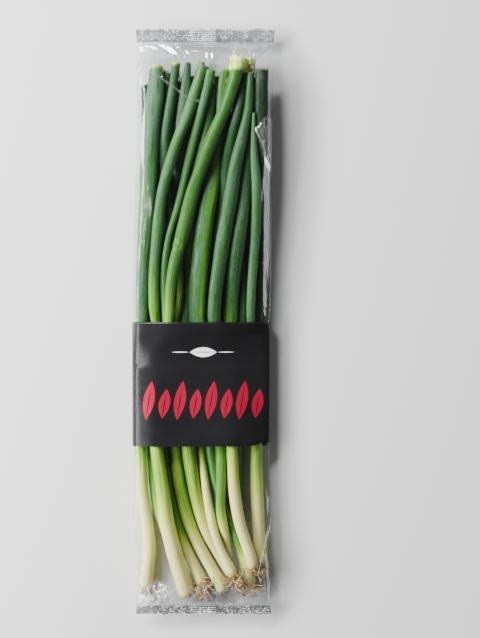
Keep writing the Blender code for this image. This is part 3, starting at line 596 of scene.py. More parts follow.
def leaf_into(skin, plant, order, item):
    """One hollow leaf, from inside its neck to its cut top."""
    key = (plant, order)
    darkness, bloom, turning = LEAF_LOOKS[plant - 1][order]
    seed = plant * 3.0 + order
    low, high = item["low"] + 1.0 + order, item["high"]
    ys, points, grain, turn = sections(item, low, high, 2.0, seed, 0.22)
    centre = points.mean(1, keepdims=True)
    grown = 0.45 + 0.55 * smoothstep((ys - low) / 20.0)
    points = centre + (points - centre) * grown[:, None, None]
    ripe = 0.42 + (darkness - 0.42) * smoothstep((ys - turning) / 60.0 + 0.6)
    tint = columns(points, ripe[:, None], (bloom * smoothstep((ys - turning) / 40.0 + 0.6))[:, None])
    points = mark_leaf(key, points, centre, tint, turn, ripe)
    if item["a"][int(station(high))] < POINTED:
        skin.rings(points, tint, grain)
        return
    # A slanting, slightly ragged cut.
    rng = random.Random(int(seed * 10))
    slant, way = rng.uniform(0.05, 0.35), rng.uniform(0, 6.28)
    radius = 0.5 * np.ptp(points[-1, :, 0])
    ragged = rough(3 * np.cos(turn), 3 * np.sin(turn), seed)
    push = slant * radius * np.cos(turn - way) - slant * radius + 1.3 * ragged - 0.6
    points[..., 1] += push[None] * smoothstep(1.0 - (high - ys) / 8.0)[:, None]
    tint[..., 0] -= 0.16 * smoothstep(1.0 - (high - ys) / 3.0)[:, None]
    if key in STUMPS:
        length, girth = STUMPS[key]
        old = smoothstep((ys - high + length) / 2.0)[:, None]
        crumb = rough(5 * np.cos(turn), 5 * np.sin(turn), ys[:, None] / 1.6)
        spread = 1.0 + old * (girth - 1.0 + 0.24 * crumb * (girth > 1.1))
        points = centre + (points - centre) * spread[..., None]
        tint[..., 0] += ((0.25 - ripe)[:, None] + 0.45 * crumb) * old
        tint[..., 1] *= 1.0 - old
        tint[..., 2] = 0.35 * old * (0.5 + crumb)
    skin.rings(points, tint, grain, cap_high=False)
    hollow_into(skin, points[-1], centre[-1], grain[-1], radius)


def neck_into(skin, plant, shank, own):
    """The sheath mouth that the leaves come out of."""
    low = shank["high"]
    turn = turns(NECK_SIDES)
    x, z, a, b = at(shank, low)
    rows = []
    for ahead in NECK_RINGS:
        spots = np.array([at(leaf, low + ahead)[:2] for leaf in own])
        cx, cz = spots.mean(0) if ahead else (x, z)
        size = 1.0 - 0.26 * ahead / 16.0
        ring = [cx + a * size * np.cos(turn), np.full(NECK_SIDES, low + ahead), cz + b * size * np.sin(turn)]
        rows.append(np.stack(ring, -1))
    points = np.array(rows)
    points[-1] = points[-1].mean(0) + (points[-1] - points[-1].mean(0)) * 0.5
    green = np.linspace(WHITENING[plant - 1][2] + 0.05, 0.55, len(rows))[:, None]
    skin.rings(points, columns(points, green), cap_low=False)


def leaves_piece(number, shank, own):
    """A plant's neck and all its leaves."""
    skin = Skin()
    neck_into(skin, number, shank, own)
    for order, leaf in enumerate(own):
        leaf_into(skin, number, order, leaf)
    return skin.build(f"leaves_{number:02d}_blades")


def thread_into(skin, path, radii, which, shade):
    """A fine root along a path of points."""
    path = np.asarray(path)
    ahead = np.gradient(path, axis=0)
    ahead /= np.linalg.norm(ahead, axis=1, keepdims=True)
    side = np.cross(ahead, (0.1, 0.2, 1.0))
    side /= np.linalg.norm(side, axis=1, keepdims=True)
    up = np.cross(side, ahead)
    turn = turns(ROOT_SIDES)
    ring = np.cos(turn)[None, :, None] * side[:, None] + np.sin(turn)[None, :, None] * up[:, None]
    points = path[:, None] + ring * radii[:, None, None]
    skin.rings(points, columns(points, shade, np.linspace(0.0, 1.0, len(path))[:, None], which))


# Each plant's roots: how many, how long, and how pale.
ROOT_LOOKS = {
    1: (56, 11.0, 0.66), 2: (10, 2.0, 0.85), 3: (14, 3.5, 0.8), 4: (130, 16.0, 0.62), 5: (40, 7.0, 0.75),
    6: (110, 14.0, 0.42), 7: (5, 2.5, 0.9), 8: (96, 11.0, 0.70), 9: (26, 6.0, 0.5), 10: (130, 15.0, 0.78),
    11: (5, 2.5, 0.9), 12: (20, 8.0, 0.5),
}

# Loose papery flakes by a root end: across, ahead, length, half width and heading.
FLAKES = {
    5: ((-4.0, -6.0, 9.0, 1.3, 0.5), (3.0, -7.5, 7.0, 1.0, 2.6), (6.0, -4.0, 6.0, 1.1, 0.9)),
    8: ((-3.0, -6.5, 8.0, 1.2, 2.9), (2.5, -7.0, 6.5, 1.0, 0.3)),
}
FLAKE_TINT = (0.95, 0.0, 0.5)
ROOT_STEPS = 13


def flake_into(skin, film, place, flake):
    """A loose papery flake, curled along its length."""
    across, ahead, long, wide, way = flake
    steps = np.linspace(-0.5, 0.5, 9)
    run = np.array([math.cos(way), math.sin(way), 0.0])
    arch = np.array([0.0, 0.0, 1.6]) * np.cos(5.0 * steps + across)[:, None]
    path = place + (across, ahead, 0.0) + run * long * steps[:, None] + arch
    side = np.array([-run[1], run[0], 0.0])
    width = wide * np.cos(np.pi * steps * 0.9)
    curl = 0.35 * np.sin(9.0 * steps + way)
    rings = []
    for p, w, c in zip(path, width, curl):
        ring = (p + side * w, p + (0, 0, c + 0.12), p - side * w, p + (0, 0, c - 0.12))
        rings.append([film.kept_inside(point, 0.9) for point in ring])
    rings = np.array(rings)
    skin.rings(rings, columns(rings, *FLAKE_TINT))


def roots_piece(number, shank, film):
    """The root plate and a tangle of dry roots, kept inside the film."""
    count, length, shade = ROOT_LOOKS[number]
    rng = random.Random(40 + number)
    low = shank["low"]
    x, z, a, b = at(shank, low)
    a, b = (size * TAPERED.get(number, WHOLE)[1] for size in (a, b))
    ahead = at(shank, low + 10.0)
    lean = np.array([(x - ahead[0]) / 10.0, -1.0, (z - ahead[1]) / 10.0])
    lean /= np.linalg.norm(lean)
    skin = Skin()
    turn = turns(PLATE_SIDES)
    plate = []
    for back, share in ((-1.2, 0.5), (-0.2, 0.58), (0.5, 0.52), (1.2, 0.34), (1.7, 0.1)):
        lump = share * (1.0 + 0.12 * np.sin(5 * turn + number) + 0.08 * np.sin(9 * turn + back))
        plate_x, plate_z = x + lean[0] * back + a * lump * np.cos(turn), z + b * lump * np.sin(turn)
        plate.append(np.stack([plate_x, low - back + 0 * turn, plate_z], -1))
    plate = np.array(plate)
    skin.rings(plate, columns(plate, shade))
    for _ in range(count):
        way, reach = rng.uniform(0, 6.2832), math.sqrt(rng.random()) * 0.5
        side = np.array([math.cos(way), 0.0, math.sin(way)])
        point = np.array([x, low, z]) + side * np.array([a, 0.0, b]) * reach + lean * 0.6
        flow = lean * 1.0 + side * rng.uniform(0.2, 1.9) * (0.4 + reach)
        flow /= np.linalg.norm(flow)
        long = length * rng.uniform(0.45, 1.0)
        path, bend = [point], np.array([rng.gauss(0, 0.35) for _ in range(3)])
        for _ in range(ROOT_STEPS):
            bend = bend * 0.72 + np.array([rng.gauss(0, 0.42) for _ in range(3)])
            flow = flow + bend
            flow /= np.linalg.norm(flow)
            point = film.kept_inside(point + flow * long / ROOT_STEPS, 1.1)
            path.append(point)
        thick = rng.uniform(0.30, 0.58)
        thread_into(skin, path, np.linspace(thick, thick * 0.35, len(path)), rng.random(), shade)
    for flake in FLAKES.get(number, ()):
        flake_into(skin, film, np.array([x, low, z + b * 0.4]), flake)
    return skin.build(f"roots_{number:02d}_tangle")


class Film:
    """Taut film round the pile: how far it lies out in each direction at each station."""

    def __init__(self, strands):
        self.ys = np.concatenate([np.arange(ROOT_SEAL_AT, TOP_SEAL_AT, 2.5), [TOP_SEAL_AT]])
        self.turn = turns(DIRECTIONS, 0.5)
        c, s = np.cos(self.turn), np.sin(self.turn)
        ys = self.ys
        reach = np.full((len(ys), DIRECTIONS), -1e9)
        left, right = along(LEFT_EDGE, ys), along(RIGHT_EDGE, ys)
        floor = floor_height(ys)
        for k, y in enumerate(ys):
            end = k in (0, len(ys) - 1)
            r = 0.25 if end else 0.8
            height = SEAL_HEIGHT + (0.0 if end else 2.5 * float(smoothstep((190.0 - abs(y)) / 60.0)))
            spots = [(left[k] + floor[k] + r, height, r, r), (right[k] - floor[k] - r, height, r, r)]
            if not end:
                flat = 24.0 * from_seals(y, 16.0) + 0.5
                low = floor[k] + SEAL_HEIGHT * (1.0 - from_seals(y, 14.0))
                spots += [(-flat, low + r, r, r), (flat, low + r, r, r)]
                for item in strands:
                    length = ROOT_LOOKS[item["plant"]][1] * 0.7 if item["part"] == 0 else 0.0
                    if item["low"] - length < y < item["high"]:
                        x, z, a, b = at(item, float(y))
                        spots.append((x, z, a + FILM_CLEARANCE, b + FILM_CLEARANCE))
            for x, z, a, b in spots:
                reach[k] = np.maximum(reach[k], x * c + z * s + np.sqrt((a * c) ** 2 + (b * s) ** 2))
        free = band_waist(ys) == 0.0
        for _ in range(TAUT_STEPS):
            mean = 0.5 * (reach[:-2] + reach[2:])
            grown = np.maximum(reach[1:-1], mean)
            reach[1:-1] = np.where(free[1:-1, None], grown, reach[1:-1])
        self.reach = reach

    def kept_inside(self, point, room):
        """The nearest place to a point that is inside the film."""
        y = min(max(point[1], ROOT_SEAL_AT + 1.5), TOP_SEAL_AT - 1.5)
        limits = self.at(y) - room
        out = point[0] * np.cos(self.turn) + point[2] * np.sin(self.turn) - limits
        k = int(np.argmax(out))
        moved = np.array([point[0], y, point[2]])
        if out[k] > 0:
            moved -= np.array([math.cos(self.turn[k]), 0.0, math.sin(self.turn[k])]) * out[k]
        return moved

    def at(self, y):
        """How far the film lies out in each direction at y."""
        k = int(np.clip(np.searchsorted(self.ys, y) - 1, 0, len(self.ys) - 2))
        t = (y - self.ys[k]) / (self.ys[k + 1] - self.ys[k])
        return (1 - t) * self.reach[k] + t * self.reach[k + 1]

    def ring(self, y, out, over, under):
        """Points round the film at y: over of them across the face, under across the back."""
        reach, turn = self.at(y) + out, self.turn
        after, later = np.roll(reach, -1), np.roll(turn, -1)
        gap = np.sin(later - turn)
        x = (reach * np.sin(later) - after * np.sin(turn)) / gap
        z = (after * np.cos(turn) - reach * np.cos(later)) / gap
        x, z = np.roll(x, 1), np.roll(z, 1)
        halves = []
        for first, count in ((0, over), (DIRECTIONS // 2, under)):
            pick = np.arange(first, first + DIRECTIONS // 2 + 1) % DIRECTIONS
            px, pz = x[pick], z[pick]
            run = np.concatenate([[0.0], np.cumsum(np.hypot(np.diff(px), np.diff(pz)))])
            u = np.arange(count) / count
            spots = (0.75 * u + 0.25 * (0.5 - 0.5 * np.cos(np.pi * u))) * run[-1]
            hx, hz = np.interp(spots, run, px), np.interp(spots, run, pz)
            halves.append(np.stack([hx, np.full(count, y), hz], -1))
        return np.concatenate(halves)


# Fine folds in the face of the film: (x, y) to (x, y), half width and height of the ridge.
FOLDS = (
    (-43.8, 174, -28.0, 164.7, 1.2, 0.25), (-28.0, 164.7, -11.2, 151.8, 1.1, 0.3),
    (-11.2, 151.8, -2.4, 148.4, 1.1, 0.2),
    (48.3, 191, 35.0, 180.3, 1.4, 1.2), (35.0, 180.3, 33.5, 171, 1.2, 0.5), (2.5, 190, 3.0, 172, 0.9, 0.45),
    (6.4, 190, 6.6, 174, 0.9, 0.45), (43.0, 137, 36.0, 129, 1.3, 0.9), (36.0, 129, 46.4, 103, 1.3, 0.8),
    (40.4, 113.7, 46.5, 102.2, 1.2, -0.6), (-19.0, 190, -11.0, 178, 1.2, 0.8),
    (24.0, 190, 21.0, 180, 1.4, 0.7),
    (27.0, 190, 33.0, 179, 1.2, 0.6), (4.0, -194, 1.0, -184, 1.2, 0.8), (30.0, -188, 17.0, -194, 1.2, 0.9),
    (44.0, -192, 42.0, -160, 1.0, 0.6), (-44.0, -193, -41.0, -168, 1.0, 0.6),
    (-33.0, -180, -14.0, -192, 1.3, 1.1),
)

# Flat places in the film: corners, slope across and along, and a point that the plane goes through.
FACETS = (
    (((-35.6, 190.3), (-33.0, 191.0), (-22.0, 187.4), (-12.6, 177.4), (-24.0, 182.0)), (0.255, -0.289),
        (-35.0, 190.0, 7.4)),
    (((-31.0, -173.5), (-28.0, -177.0), (-22.0, -178.0), (-27.5, -181.0), (-32.5, -183.0)), (0.58, -0.246),
        (-32.0, -183.0, 8.4)),
    (((-44.2, -193.2), (-39.7, -190.1), (-37.0, -193.6)), (0.57, -0.26), (-44.2, -193.2, 7.0)),
    (((-35.1, -192.0), (-31.6, -187.3), (-30.5, -190.0), (-33.5, -193.2)), (0.575, -0.25),
        (-35.1, -192.0, 7.4)),
    (((-34.0, -183.2), (-28.6, -187.2), (-29.0, -188.0), (-34.4, -184.6)), (0.575, -0.25),
        (-34.0, -184.0, 9.0)),
    (((-40.5, -181.0), (-38.6, -180.6), (-36.4, -186.0), (-38.0, -187.0)), (0.575, -0.25),
        (-40.0, -182.0, 9.6)),
)

# The end seals: how far they flare, and the pitch of their teeth and of their ribs.
SEAL_FLARE = 0.8
TOOTH_PITCH = 2.3
RIB_PITCH = 1.3

# Crumples of the loose film: how far apart, how high, how strongly their edges are painted with highlight and
# shade, and a seed.
CRUMPLES = ((7.0, 2.6, 1.0, 4), (3.1, 1.1, 0.7, 8))
CELLS = 40

# Places where the film lies double, and how white they are painted, partly the double film's own whiteness
# and partly painted reflection; a painted shade line runs round each.
DOUBLED = (
    (((47.0, 190.5), (36.0, 180.5), (35.5, 171.0), (44.5, 172.5), (47.0, 180.0)), 0.40),
    (((47.0, 136.5), (36.2, 129.0), (41.0, 114.0), (46.8, 102.5)), 0.26),
    (((-31.5, -173.0), (-29.0, -177.0), (-22.0, -178.0), (-27.5, -181.5), (-33.0, -183.5)), 0.34),
    (((18.0, -194.0), (44.0, -194.0), (44.0, -181.0), (36.0, -184.0), (24.0, -190.5)), 0.16),
)

# Shelves along the pack's edges: (y, x of the inner edge, width) points, and the slope of the shelf.
SHELVES = (
    (((172, -44.4, 0.4), (165, -42.2, 1.8), (158, -40.0, 3.4), (148, -39.2, 3.8), (130, -39.4, 3.5),
        (113, -40.2, 2.2), (100, -41.0, 0.3)), 0.57),
    (((172, 42.0, 1.0), (150, 41.0, 4.5), (60, 40.6, 4.4), (14, 40.4, 4.0), (3, 40.8, 3.0)), -0.79),
    (((-88, 41.0, 3.6), (-112, 41.8, 3.0), (-132, 43.6, 1.0)), -0.79),
)


def from_fold(x, y, fold):
    """How far each place is from a fold's line."""
    x1, y1, x2, y2 = fold[:4]
    run = np.array([x2 - x1, y2 - y1])
    t = np.clip(((x - x1) * run[0] + (y - y1) * run[1]) / (run @ run), 0.0, 1.0)
    return np.hypot(x - x1 - t * run[0], y - y1 - t * run[1])


def line(far, wide, full):
    """A narrow mark: full where far is near 0, and gone at a little more than wide."""
    return np.clip(full - np.abs(far) / wide, 0.0, 1.0)


def fold_height(points):
    """How high the folds stand."""
    x, y = points[..., 0], points[..., 1]
    return sum(line(from_fold(x, y, fold), fold[4], 1.0) * fold[5] for fold in FOLDS)


def cells(x, y, pitch):
    """Which cell of a bent grid each place is in, and how far across it."""
    u, v = x / pitch + 0.35 * np.sin(y / pitch), y / pitch + 0.3 * np.sin(1.3 * x / pitch)
    i, j = np.floor(u).astype(int), np.floor(v).astype(int)
    return i, j, u - i, v - j


def cell_values(seed):
    """A random value for each cell of the grid, which repeats after CELLS of them."""
    return np.random.default_rng(seed).random((CELLS, CELLS))


def crumple(x, y, pitch, seed):
    """Random flat facets that meet in creases, 0 to 1 high."""
    heights = cell_values(seed)
    i, j, a, b = cells(x, y, pitch)
    here, right, up, far = (heights[(i + di) % CELLS, (j + dj) % CELLS] for di, dj in ((0, 0), (1, 0),
        (0, 1), (1, 1)))
    low = here + a * (right - here) + b * (up - here)
    high = far + (1 - a) * (up - far) + (1 - b) * (right - far)
    return np.where(a + b < 1.0, low, high)


def to_the_left(x):
    """1 over the left part of the pack, 0 over the rest."""
    return smoothstep((-12.0 - x) / 14.0)


def looseness(x, y):
    """How loose and crumpled the film lies: only near the seals, and most at the left."""
    left = to_the_left(x)
    top, foot = smoothstep((y - 172.0) / 14.0), smoothstep((-172.0 - y) / 12.0)
    return top * (0.35 + 0.65 * left) + foot * (0.45 + 0.75 * left)


def crumpled(points):
    """How high the loose film by the seals stands in crumples."""
    x, y = points[..., 0], points[..., 1]
    return looseness(x, y) * sum(high * crumple(x, y, pitch, seed) for pitch, high, _, seed in CRUMPLES)


def inside(points, corners):
    """How far inside a many-sided outline each place is, in millimetres."""
    corners = np.array(corners)
    middle = corners.mean(0)
    depth = np.full(points.shape[:-1], 1e9)
    for start, end in zip(corners, np.roll(corners, -1, 0)):
        way = (end - start) / np.linalg.norm(end - start)
        normal = np.array([-way[1], way[0]])
        normal *= math.copysign(1.0, (middle - start) @ normal)
        depth = np.minimum(depth, (points[..., :2] - start) @ normal)
    return depth


def creases(points):
    """How white the film is where it is folded sharply or lies double, partly whitened film and partly
    painted highlight, and the painted shade beside folds, round doubled places and along crumple edges.
    """
    x, y = points[..., 0], points[..., 1]
    # white holds the whitening and painted highlight; the second value holds the painted shade.
    white, painted_shade = np.zeros(x.shape), np.zeros(x.shape)

    def mark(lit, shaded):
        np.maximum(white, lit, out=white)
        np.maximum(painted_shade, shaded, out=painted_shade)

    for corners, share in DOUBLED:
        # Inside each place the film is painted white, and just outside it a line of painted shade.
        depth = inside(points, corners)
        mark(share * smoothstep(depth / 0.8 + 0.5), 0.8 * line(depth + 0.8, 0.6, 1.2))
    for fold in FOLDS:
        x1, y1, x2, y2, _, high = fold
        # Each fold gets a painted highlight along its line and a painted shade on one side of it, stronger
        # the higher the fold.
        far = from_fold(x, y, fold)
        right = (x - x1) * (y2 - y1) > (y - y1) * (x2 - x1)
        faint = 0.55 + 0.45 * np.sin(0.9 * x + 1.7 * y) * np.sin(0.31 * y - 0.8 * x)
        lit = (0.14 + 0.50 * abs(high)) * faint * line(far, 0.6, 1.3)
        mark(lit, (0.15 + 0.60 * abs(high)) * right * line(far - 1.4, 0.6, 1.3))
    for pitch, _, share, seed in CRUMPLES:
        i, j, a, b = cells(x, y, pitch)
        edge = pitch * np.minimum.reduce([a, b, 1.0 - a, 1.0 - b, 0.7 * np.abs(1.0 - a - b)])
        # Crumple edges get a painted highlight, and half of each cell a painted shade along its edge, most
        # where the film is loosest.
        painted_edge_marks = share * looseness(x, y) * cell_values(seed)[i % CELLS, j % CELLS]
        mark(0.8 * painted_edge_marks * line(edge, 0.35, 1.4), 0.7 * painted_edge_marks * (a + b < 1.0) * line(edge - 0.8, 0.35, 1.2))
    return white, painted_shade


def shelve(points, over):
    """Cut the shelves into the face, and say where the face is still free to crumple."""
    free = np.ones(points.shape[:2])
    for route, slope in SHELVES:
        table = np.array(sorted(route))
        for row, loose in zip(points, free):
            y = row[0, 1]
            if not table[0, 0] < y < table[-1, 0]:
                continue
            inner, wide = (float(np.interp(y, table[:, 0], table[:, k])) for k in (1, 2))
            face = row[:over]
            order = np.argsort(face[:, 0])
            top = float(np.interp(inner, face[order, 0], face[order, 2]))
            away = (inner - face[:, 0]) * math.copysign(1.0, slope)
            plane = top - abs(slope) * away
            near = (away > 0.0) & (away < wide)
            face[near, 2] = np.maximum(face[near, 2] - 0.35, plane[near])
            loose[:over][near] = 0.0
    return free


def flatten(points):
    """Press the film flat over each facet."""
    for corners, slope, through in FACETS:
        depth = inside(points, corners)
        plane = through[2] + (points[..., :2] - through[:2]) @ np.array(slope)
        points[..., 2] += smoothstep(depth / 0.7 + 0.5) * (plane - points[..., 2])


def film_piece(film):
    """The film between its seals: folded, crumpled near the ends, with shelves along its edges."""
    close = (np.arange(ROOT_SEAL_AT, -140.0, 1.0), np.arange(96.0, TOP_SEAL_AT, 1.0))
    ys = np.concatenate([close[0], np.arange(-140.0, 96.0, 2.0), close[1], [TOP_SEAL_AT]])
    points = np.array([film.ring(float(y), 0.0, FILM_FACE, FILM_BACK) for y in ys])
    free = shelve(points, FILM_FACE)
    face = np.zeros(points.shape[:2])
    face[:, 4:FILM_FACE - 3] = 1.0 - band_waist(ys)[:, None]
    calm = np.clip(np.minimum(ys - ROOT_SEAL_AT, TOP_SEAL_AT - ys) / 3.0, 0.0, 1.0)[:, None]
    ends = smoothstep((np.abs(ys) - 120.0) / 60.0)[:, None]
    ripple = rough(points[..., 0] / 9.0, points[..., 1] / 26.0, 1.0) * (0.10 + 0.25 * ends)
    points[..., 2] += (fold_height(points) + ripple + crumpled(points)) * face * calm * free
    flatten(points[:, 4:FILM_FACE - 3])
    points[..., 2] = np.maximum(points[..., 2], 0.05)
    # The tint carries the whitening, painted highlights and painted shade of folds, doubled places and
    # crumple edges, on the face.
    tint = columns(points, *(marks * face for marks in creases(points)))
    skin = Skin()
    skin.rings(points, tint, cap_low=False, cap_high=False)
    return skin.build("film_body")


def seal_piece(name, y_in, y_out, film):
    """A crimped end seal: a narrow ribbed strip with a pinked edge."""
    end = film.ring(min(max(y_in, ROOT_SEAL_AT), TOP_SEAL_AT), 0.0, 150, 70)
    left, right = end[:, 0].min(), end[:, 0].max()
    t = np.linspace(0.0, 1.0, SEAL_ROWS)[:, None]
    u = np.linspace(0.0, 1.0, SEAL_COLUMNS)[None]
    x = left + (right - left) * u + (u - 0.5) * 2.0 * SEAL_FLARE * t
    y = y_in + (y_out - y_in) * t + 0.0 * u
    teeth = np.abs(((x / TOOTH_PITCH) % 1.0) - 0.5) * 2.0 + 1.2 * rough(x[-1] / 3.1, y_in, 0.7)
    y = y + np.sign(y_out - y_in) * (teeth - 1.35) * 0.95 * t**3
    ribs = 0.20 * np.sin(2.0 * np.pi * (y - y_in) / RIB_PITCH)
    loose = smoothstep(t / 0.2) * (0.5 + 0.5 * to_the_left(x))
    crumples = 1.5 * crumple(x, y, 4.3, 5) + 0.9 * crumple(x, y, 1.9, 6)
    z = SEAL_HEIGHT + ribs + t * 1.3 * rough(x / 14.0, y / 9.0, 3.3) + loose * crumples
    top = np.stack([x, y, z + 0.12], -1)
    low = np.stack([x, y, z - 0.12], -1)[:, ::-1]
    points = np.concatenate([top, low], 1)
    skin = Skin()
    skin.rings(points, columns(points, 1.0), cap_low=False, cap_high=False)
    return skin.build(name)


def fin_piece():
    """The back seam of the film, a narrow strip that runs the pack's length."""
    ys = np.arange(ROOT_SEAL_AT, TOP_SEAL_AT + 0.1, 3.0)
    z = 0.15 + floor_height(ys) + SEAL_HEIGHT * (1.0 - from_seals(ys, 14.0))
    points = np.array([[(4.4, y, h), (8.6, y, h)] for y, h in zip(ys, z)]).reshape(-1, 3)
    faces = [(2 * k, 2 * k + 1, 2 * k + 3, 2 * k + 2) for k in range(len(ys) - 1)]
    thing = link("film_back_seam", points, faces)
    give(thing, "grain", points)
    give(thing, "tint", np.zeros_like(points))
    return thing


def band_piece(film):
    """The printed band: a close sleeve with soft dents and a turned foot at one corner."""
    ys = np.linspace(BAND_FOOT, BAND_HEAD, 60)
    sheets = []
    for out in (BAND_GAP + BAND_THICKNESS - 0.05, BAND_GAP + 0.1):
        points = np.array([film.ring(float(y), out, BAND_FACE, BAND_BACK) for y in ys])
        x, y = points[..., 0], points[..., 1]
        face = (points[..., 2] > 6.0) * 1.0
        points[..., 2] += 0.35 * rough(x / 22.0, y / 30.0, 5.0) * face
        y += 3.0 * smoothstep((x - 30.0) / 16.0) * smoothstep((-72.0 - y) / 12.0) * face
        if not sheets:
            rounded(points[:, :BAND_FACE, 2].T, 30)
        sheets.append(points)
    outer, inner = sheets
    points = np.concatenate([outer, inner[::-1], outer[:1]])
    skin = Skin()
    skin.rings(points, np.zeros_like(points), cap_low=False, cap_high=False)
    return skin.build("band_sleeve")


class Wire:
    """A socket in a material, used in sums as a number is."""

    def __init__(self, finish, socket):
        self.finish, self.socket = finish, socket


for sign, operation in (
    ("add", "ADD"), ("sub", "SUBTRACT"), ("mul", "MULTIPLY"), ("truediv", "DIVIDE"), ("pow", "POWER"),
):
    setattr(Wire, f"__{sign}__", lambda self, other, do=operation: self.finish.sum(do, self, other))
    setattr(Wire, f"__r{sign}__", lambda self, other, do=operation: self.finish.sum(do, other, self))


class Finish:
    """One material, built from expressions on its sockets."""

    def __init__(self, name):
        self.material = bpy.data.materials.new(name)
        self.material.use_nodes = True
        self.tree = self.material.node_tree
        self.tree.nodes.clear()
        self.out = self.tree.nodes.new("ShaderNodeOutputMaterial")

    def node(self, kind, settings=None, **inputs):
        """A node of any kind: settings first, then its sockets by name or number."""
        made = self.tree.nodes.new(kind)
        for key, value in (settings or {}).items():
            if key == "stops":
                ramp = made.color_ramp
                while len(ramp.elements) > 1:
                    ramp.elements.remove(ramp.elements[0])
                for k, (place, colour) in enumerate(value):
                    stop = ramp.elements[0] if k == 0 else ramp.elements.new(place)
                    stop.position, stop.color = place, (*colour, 1.0)
            else:
                setattr(made, key, value)
        for key, value in inputs.items():
            self.put(made.inputs[int(key[1:]) if key[1:].isdigit() else key.replace("_", " ")], value)
        return made

    def put(self, spot, value):
        if isinstance(value, Wire):
            self.tree.links.new(value.socket, spot)
        elif value is not None:
            if spot.type == "RGBA" and len(value) == 3:
                value = (*value, 1.0)
            spot.default_value = value

    def wire(self, made, output=0):
        return Wire(self, made.outputs[output])

    def texture(self, kind, settings=None, **inputs):
        """A node's first output."""
        return self.wire(self.node(kind, settings, **inputs))

    def sum(self, operation, first, second=0.0, clamp=False):
        settings = {"operation": operation, "use_clamp": clamp}
        return self.texture("ShaderNodeMath", settings, _0=first, _1=second)

    def clip(self, value):
        return self.sum("ADD", value, 0.0, True)

    def step(self, value, low, high):
        """0 below low and 1 above high, eased between."""
        settings = {"interpolation_type": "SMOOTHSTEP"}
        return self.texture("ShaderNodeMapRange", settings, Value=value, From_Min=low, From_Max=high)

    def mix(self, share, first, second, blend="MIX"):
        settings = {"data_type": "RGBA", "blend_type": blend}
        return self.wire(self.node("ShaderNodeMix", settings, _0=share, _6=first, _7=second), 2)

    def stored(self, name):
        """The x, y and z of a stored vector, and the vector itself."""
        made = self.node("ShaderNodeAttribute", {"attribute_name": name})
        split = self.node("ShaderNodeSeparateXYZ", Vector=self.wire(made, 1))
        return [self.wire(split, k) for k in range(3)] + [self.wire(made, 1)]

    def stretch(self, vector, x, y, z):
        return self.texture("ShaderNodeVectorMath", {"operation": "MULTIPLY"}, _0=vector, _1=(x, y, z))

    def cloud(self, vector, scale, detail=3.0, roughness=0.5):
        made = self.node("ShaderNodeTexNoise", Vector=vector, Scale=scale, Detail=detail, Roughness=roughness)
        return self.wire(made)

    def ramp(self, value, *stops):
        return self.texture("ShaderNodeValToRGB", {"stops": stops}, Fac=value)

    def bump(self, height, distance, strength=1.0):
        return self.texture("ShaderNodeBump", Height=height, Distance=distance, Strength=strength)

    def surface(self, colour, roughness, normal=None, **more):
        return self.texture(
            "ShaderNodeBsdfPrincipled", Base_Color=colour, Roughness=roughness, Normal=normal, **more
        )

    def show(self, shader):
        self.put(self.out.inputs[0], shader)
        return self.material


def onion_skin():
    """Shanks and leaves: cream, yellow green, bright green, then dark green with a blue bloom."""
    f = Finish("onion_skin")
    ripe, bloom, age, _ = f.stored("tint")
    around = f.stored("grain")[3]
    veins = f.cloud(f.stretch(around, 1.0, 1.0, 0.012), 1.2, 3.0, 0.65)
    fibres = f.cloud(f.stretch(around, 1.0, 1.0, 0.045), 2.3, 3.0, 0.6)
    patches = f.cloud(f.stretch(around, 0.35, 0.35, 0.05), 1.0, 3.0, 0.55)
    place = f.clip(ripe + (veins - 0.5) * 0.44 * f.step(ripe, 0.0, 0.3) + (patches - 0.5) * 0.22)
    colour = f.ramp(
        place,
        (0.00, (0.73, 0.68, 0.24)),
        (0.12, (0.64, 0.66, 0.17)),
        (0.26, (0.41, 0.56, 0.045)),
        (0.40, (0.118, 0.300, 0.020)),
        (0.54, (0.038, 0.146, 0.012)),
        (0.72, (0.014, 0.068, 0.010)),
        (1.00, (0.004, 0.020, 0.005)),
    )
    pale = 1.0 - f.step(ripe, 0.20, 0.40)
    colour = f.mix(f.step(veins, 0.50, 0.68) * pale * 0.34, colour, (0.55, 0.60, 0.20))
    colour = f.mix(f.step(patches, 0.52, 0.66) * pale * 0.22, colour, (0.72, 0.52, 0.26))
    waxy = f.clip(bloom * f.step(patches + (fibres - 0.5) * 0.5, 0.30, 0.72))
    colour = f.mix(waxy * 0.60, colour, (0.085, 0.185, 0.125))
    colour = f.mix(f.step(fibres, 0.50, 0.74) * 0.46, colour, (1.0, 1.0, 0.85), "SOFT_LIGHT")
    colour = f.mix(f.step(0.5 - fibres * 1.0, 0.04, 0.22) * 0.55, colour, (0.30, 0.34, 0.22), "MULTIPLY")
    dry = f.clip(age * (0.55 + f.step(veins, 0.35, 0.65) * 0.6))
    colour = f.mix(dry * 0.75, colour, (0.62, 0.46, 0.20))
    spots = f.step(f.cloud(f.stretch(around, 1.0, 1.0, 0.28), 1.7, 2.0), 0.58, 0.72)
    colour = f.mix(spots * 0.14, colour, (0.50, 0.58, 0.34))
    height = veins * 0.6 + fibres * 0.4
    shader = f.surface(
        colour,
        0.34 + waxy * 0.22 + (fibres - 0.5) * 0.12,
        f.bump(height, 0.00035, 0.7),
        Subsurface_Weight=0.08,
        Subsurface_Radius=(0.8, 1.0, 0.35),
        Subsurface_Scale=0.0012,
    )
    return f.show(shader)


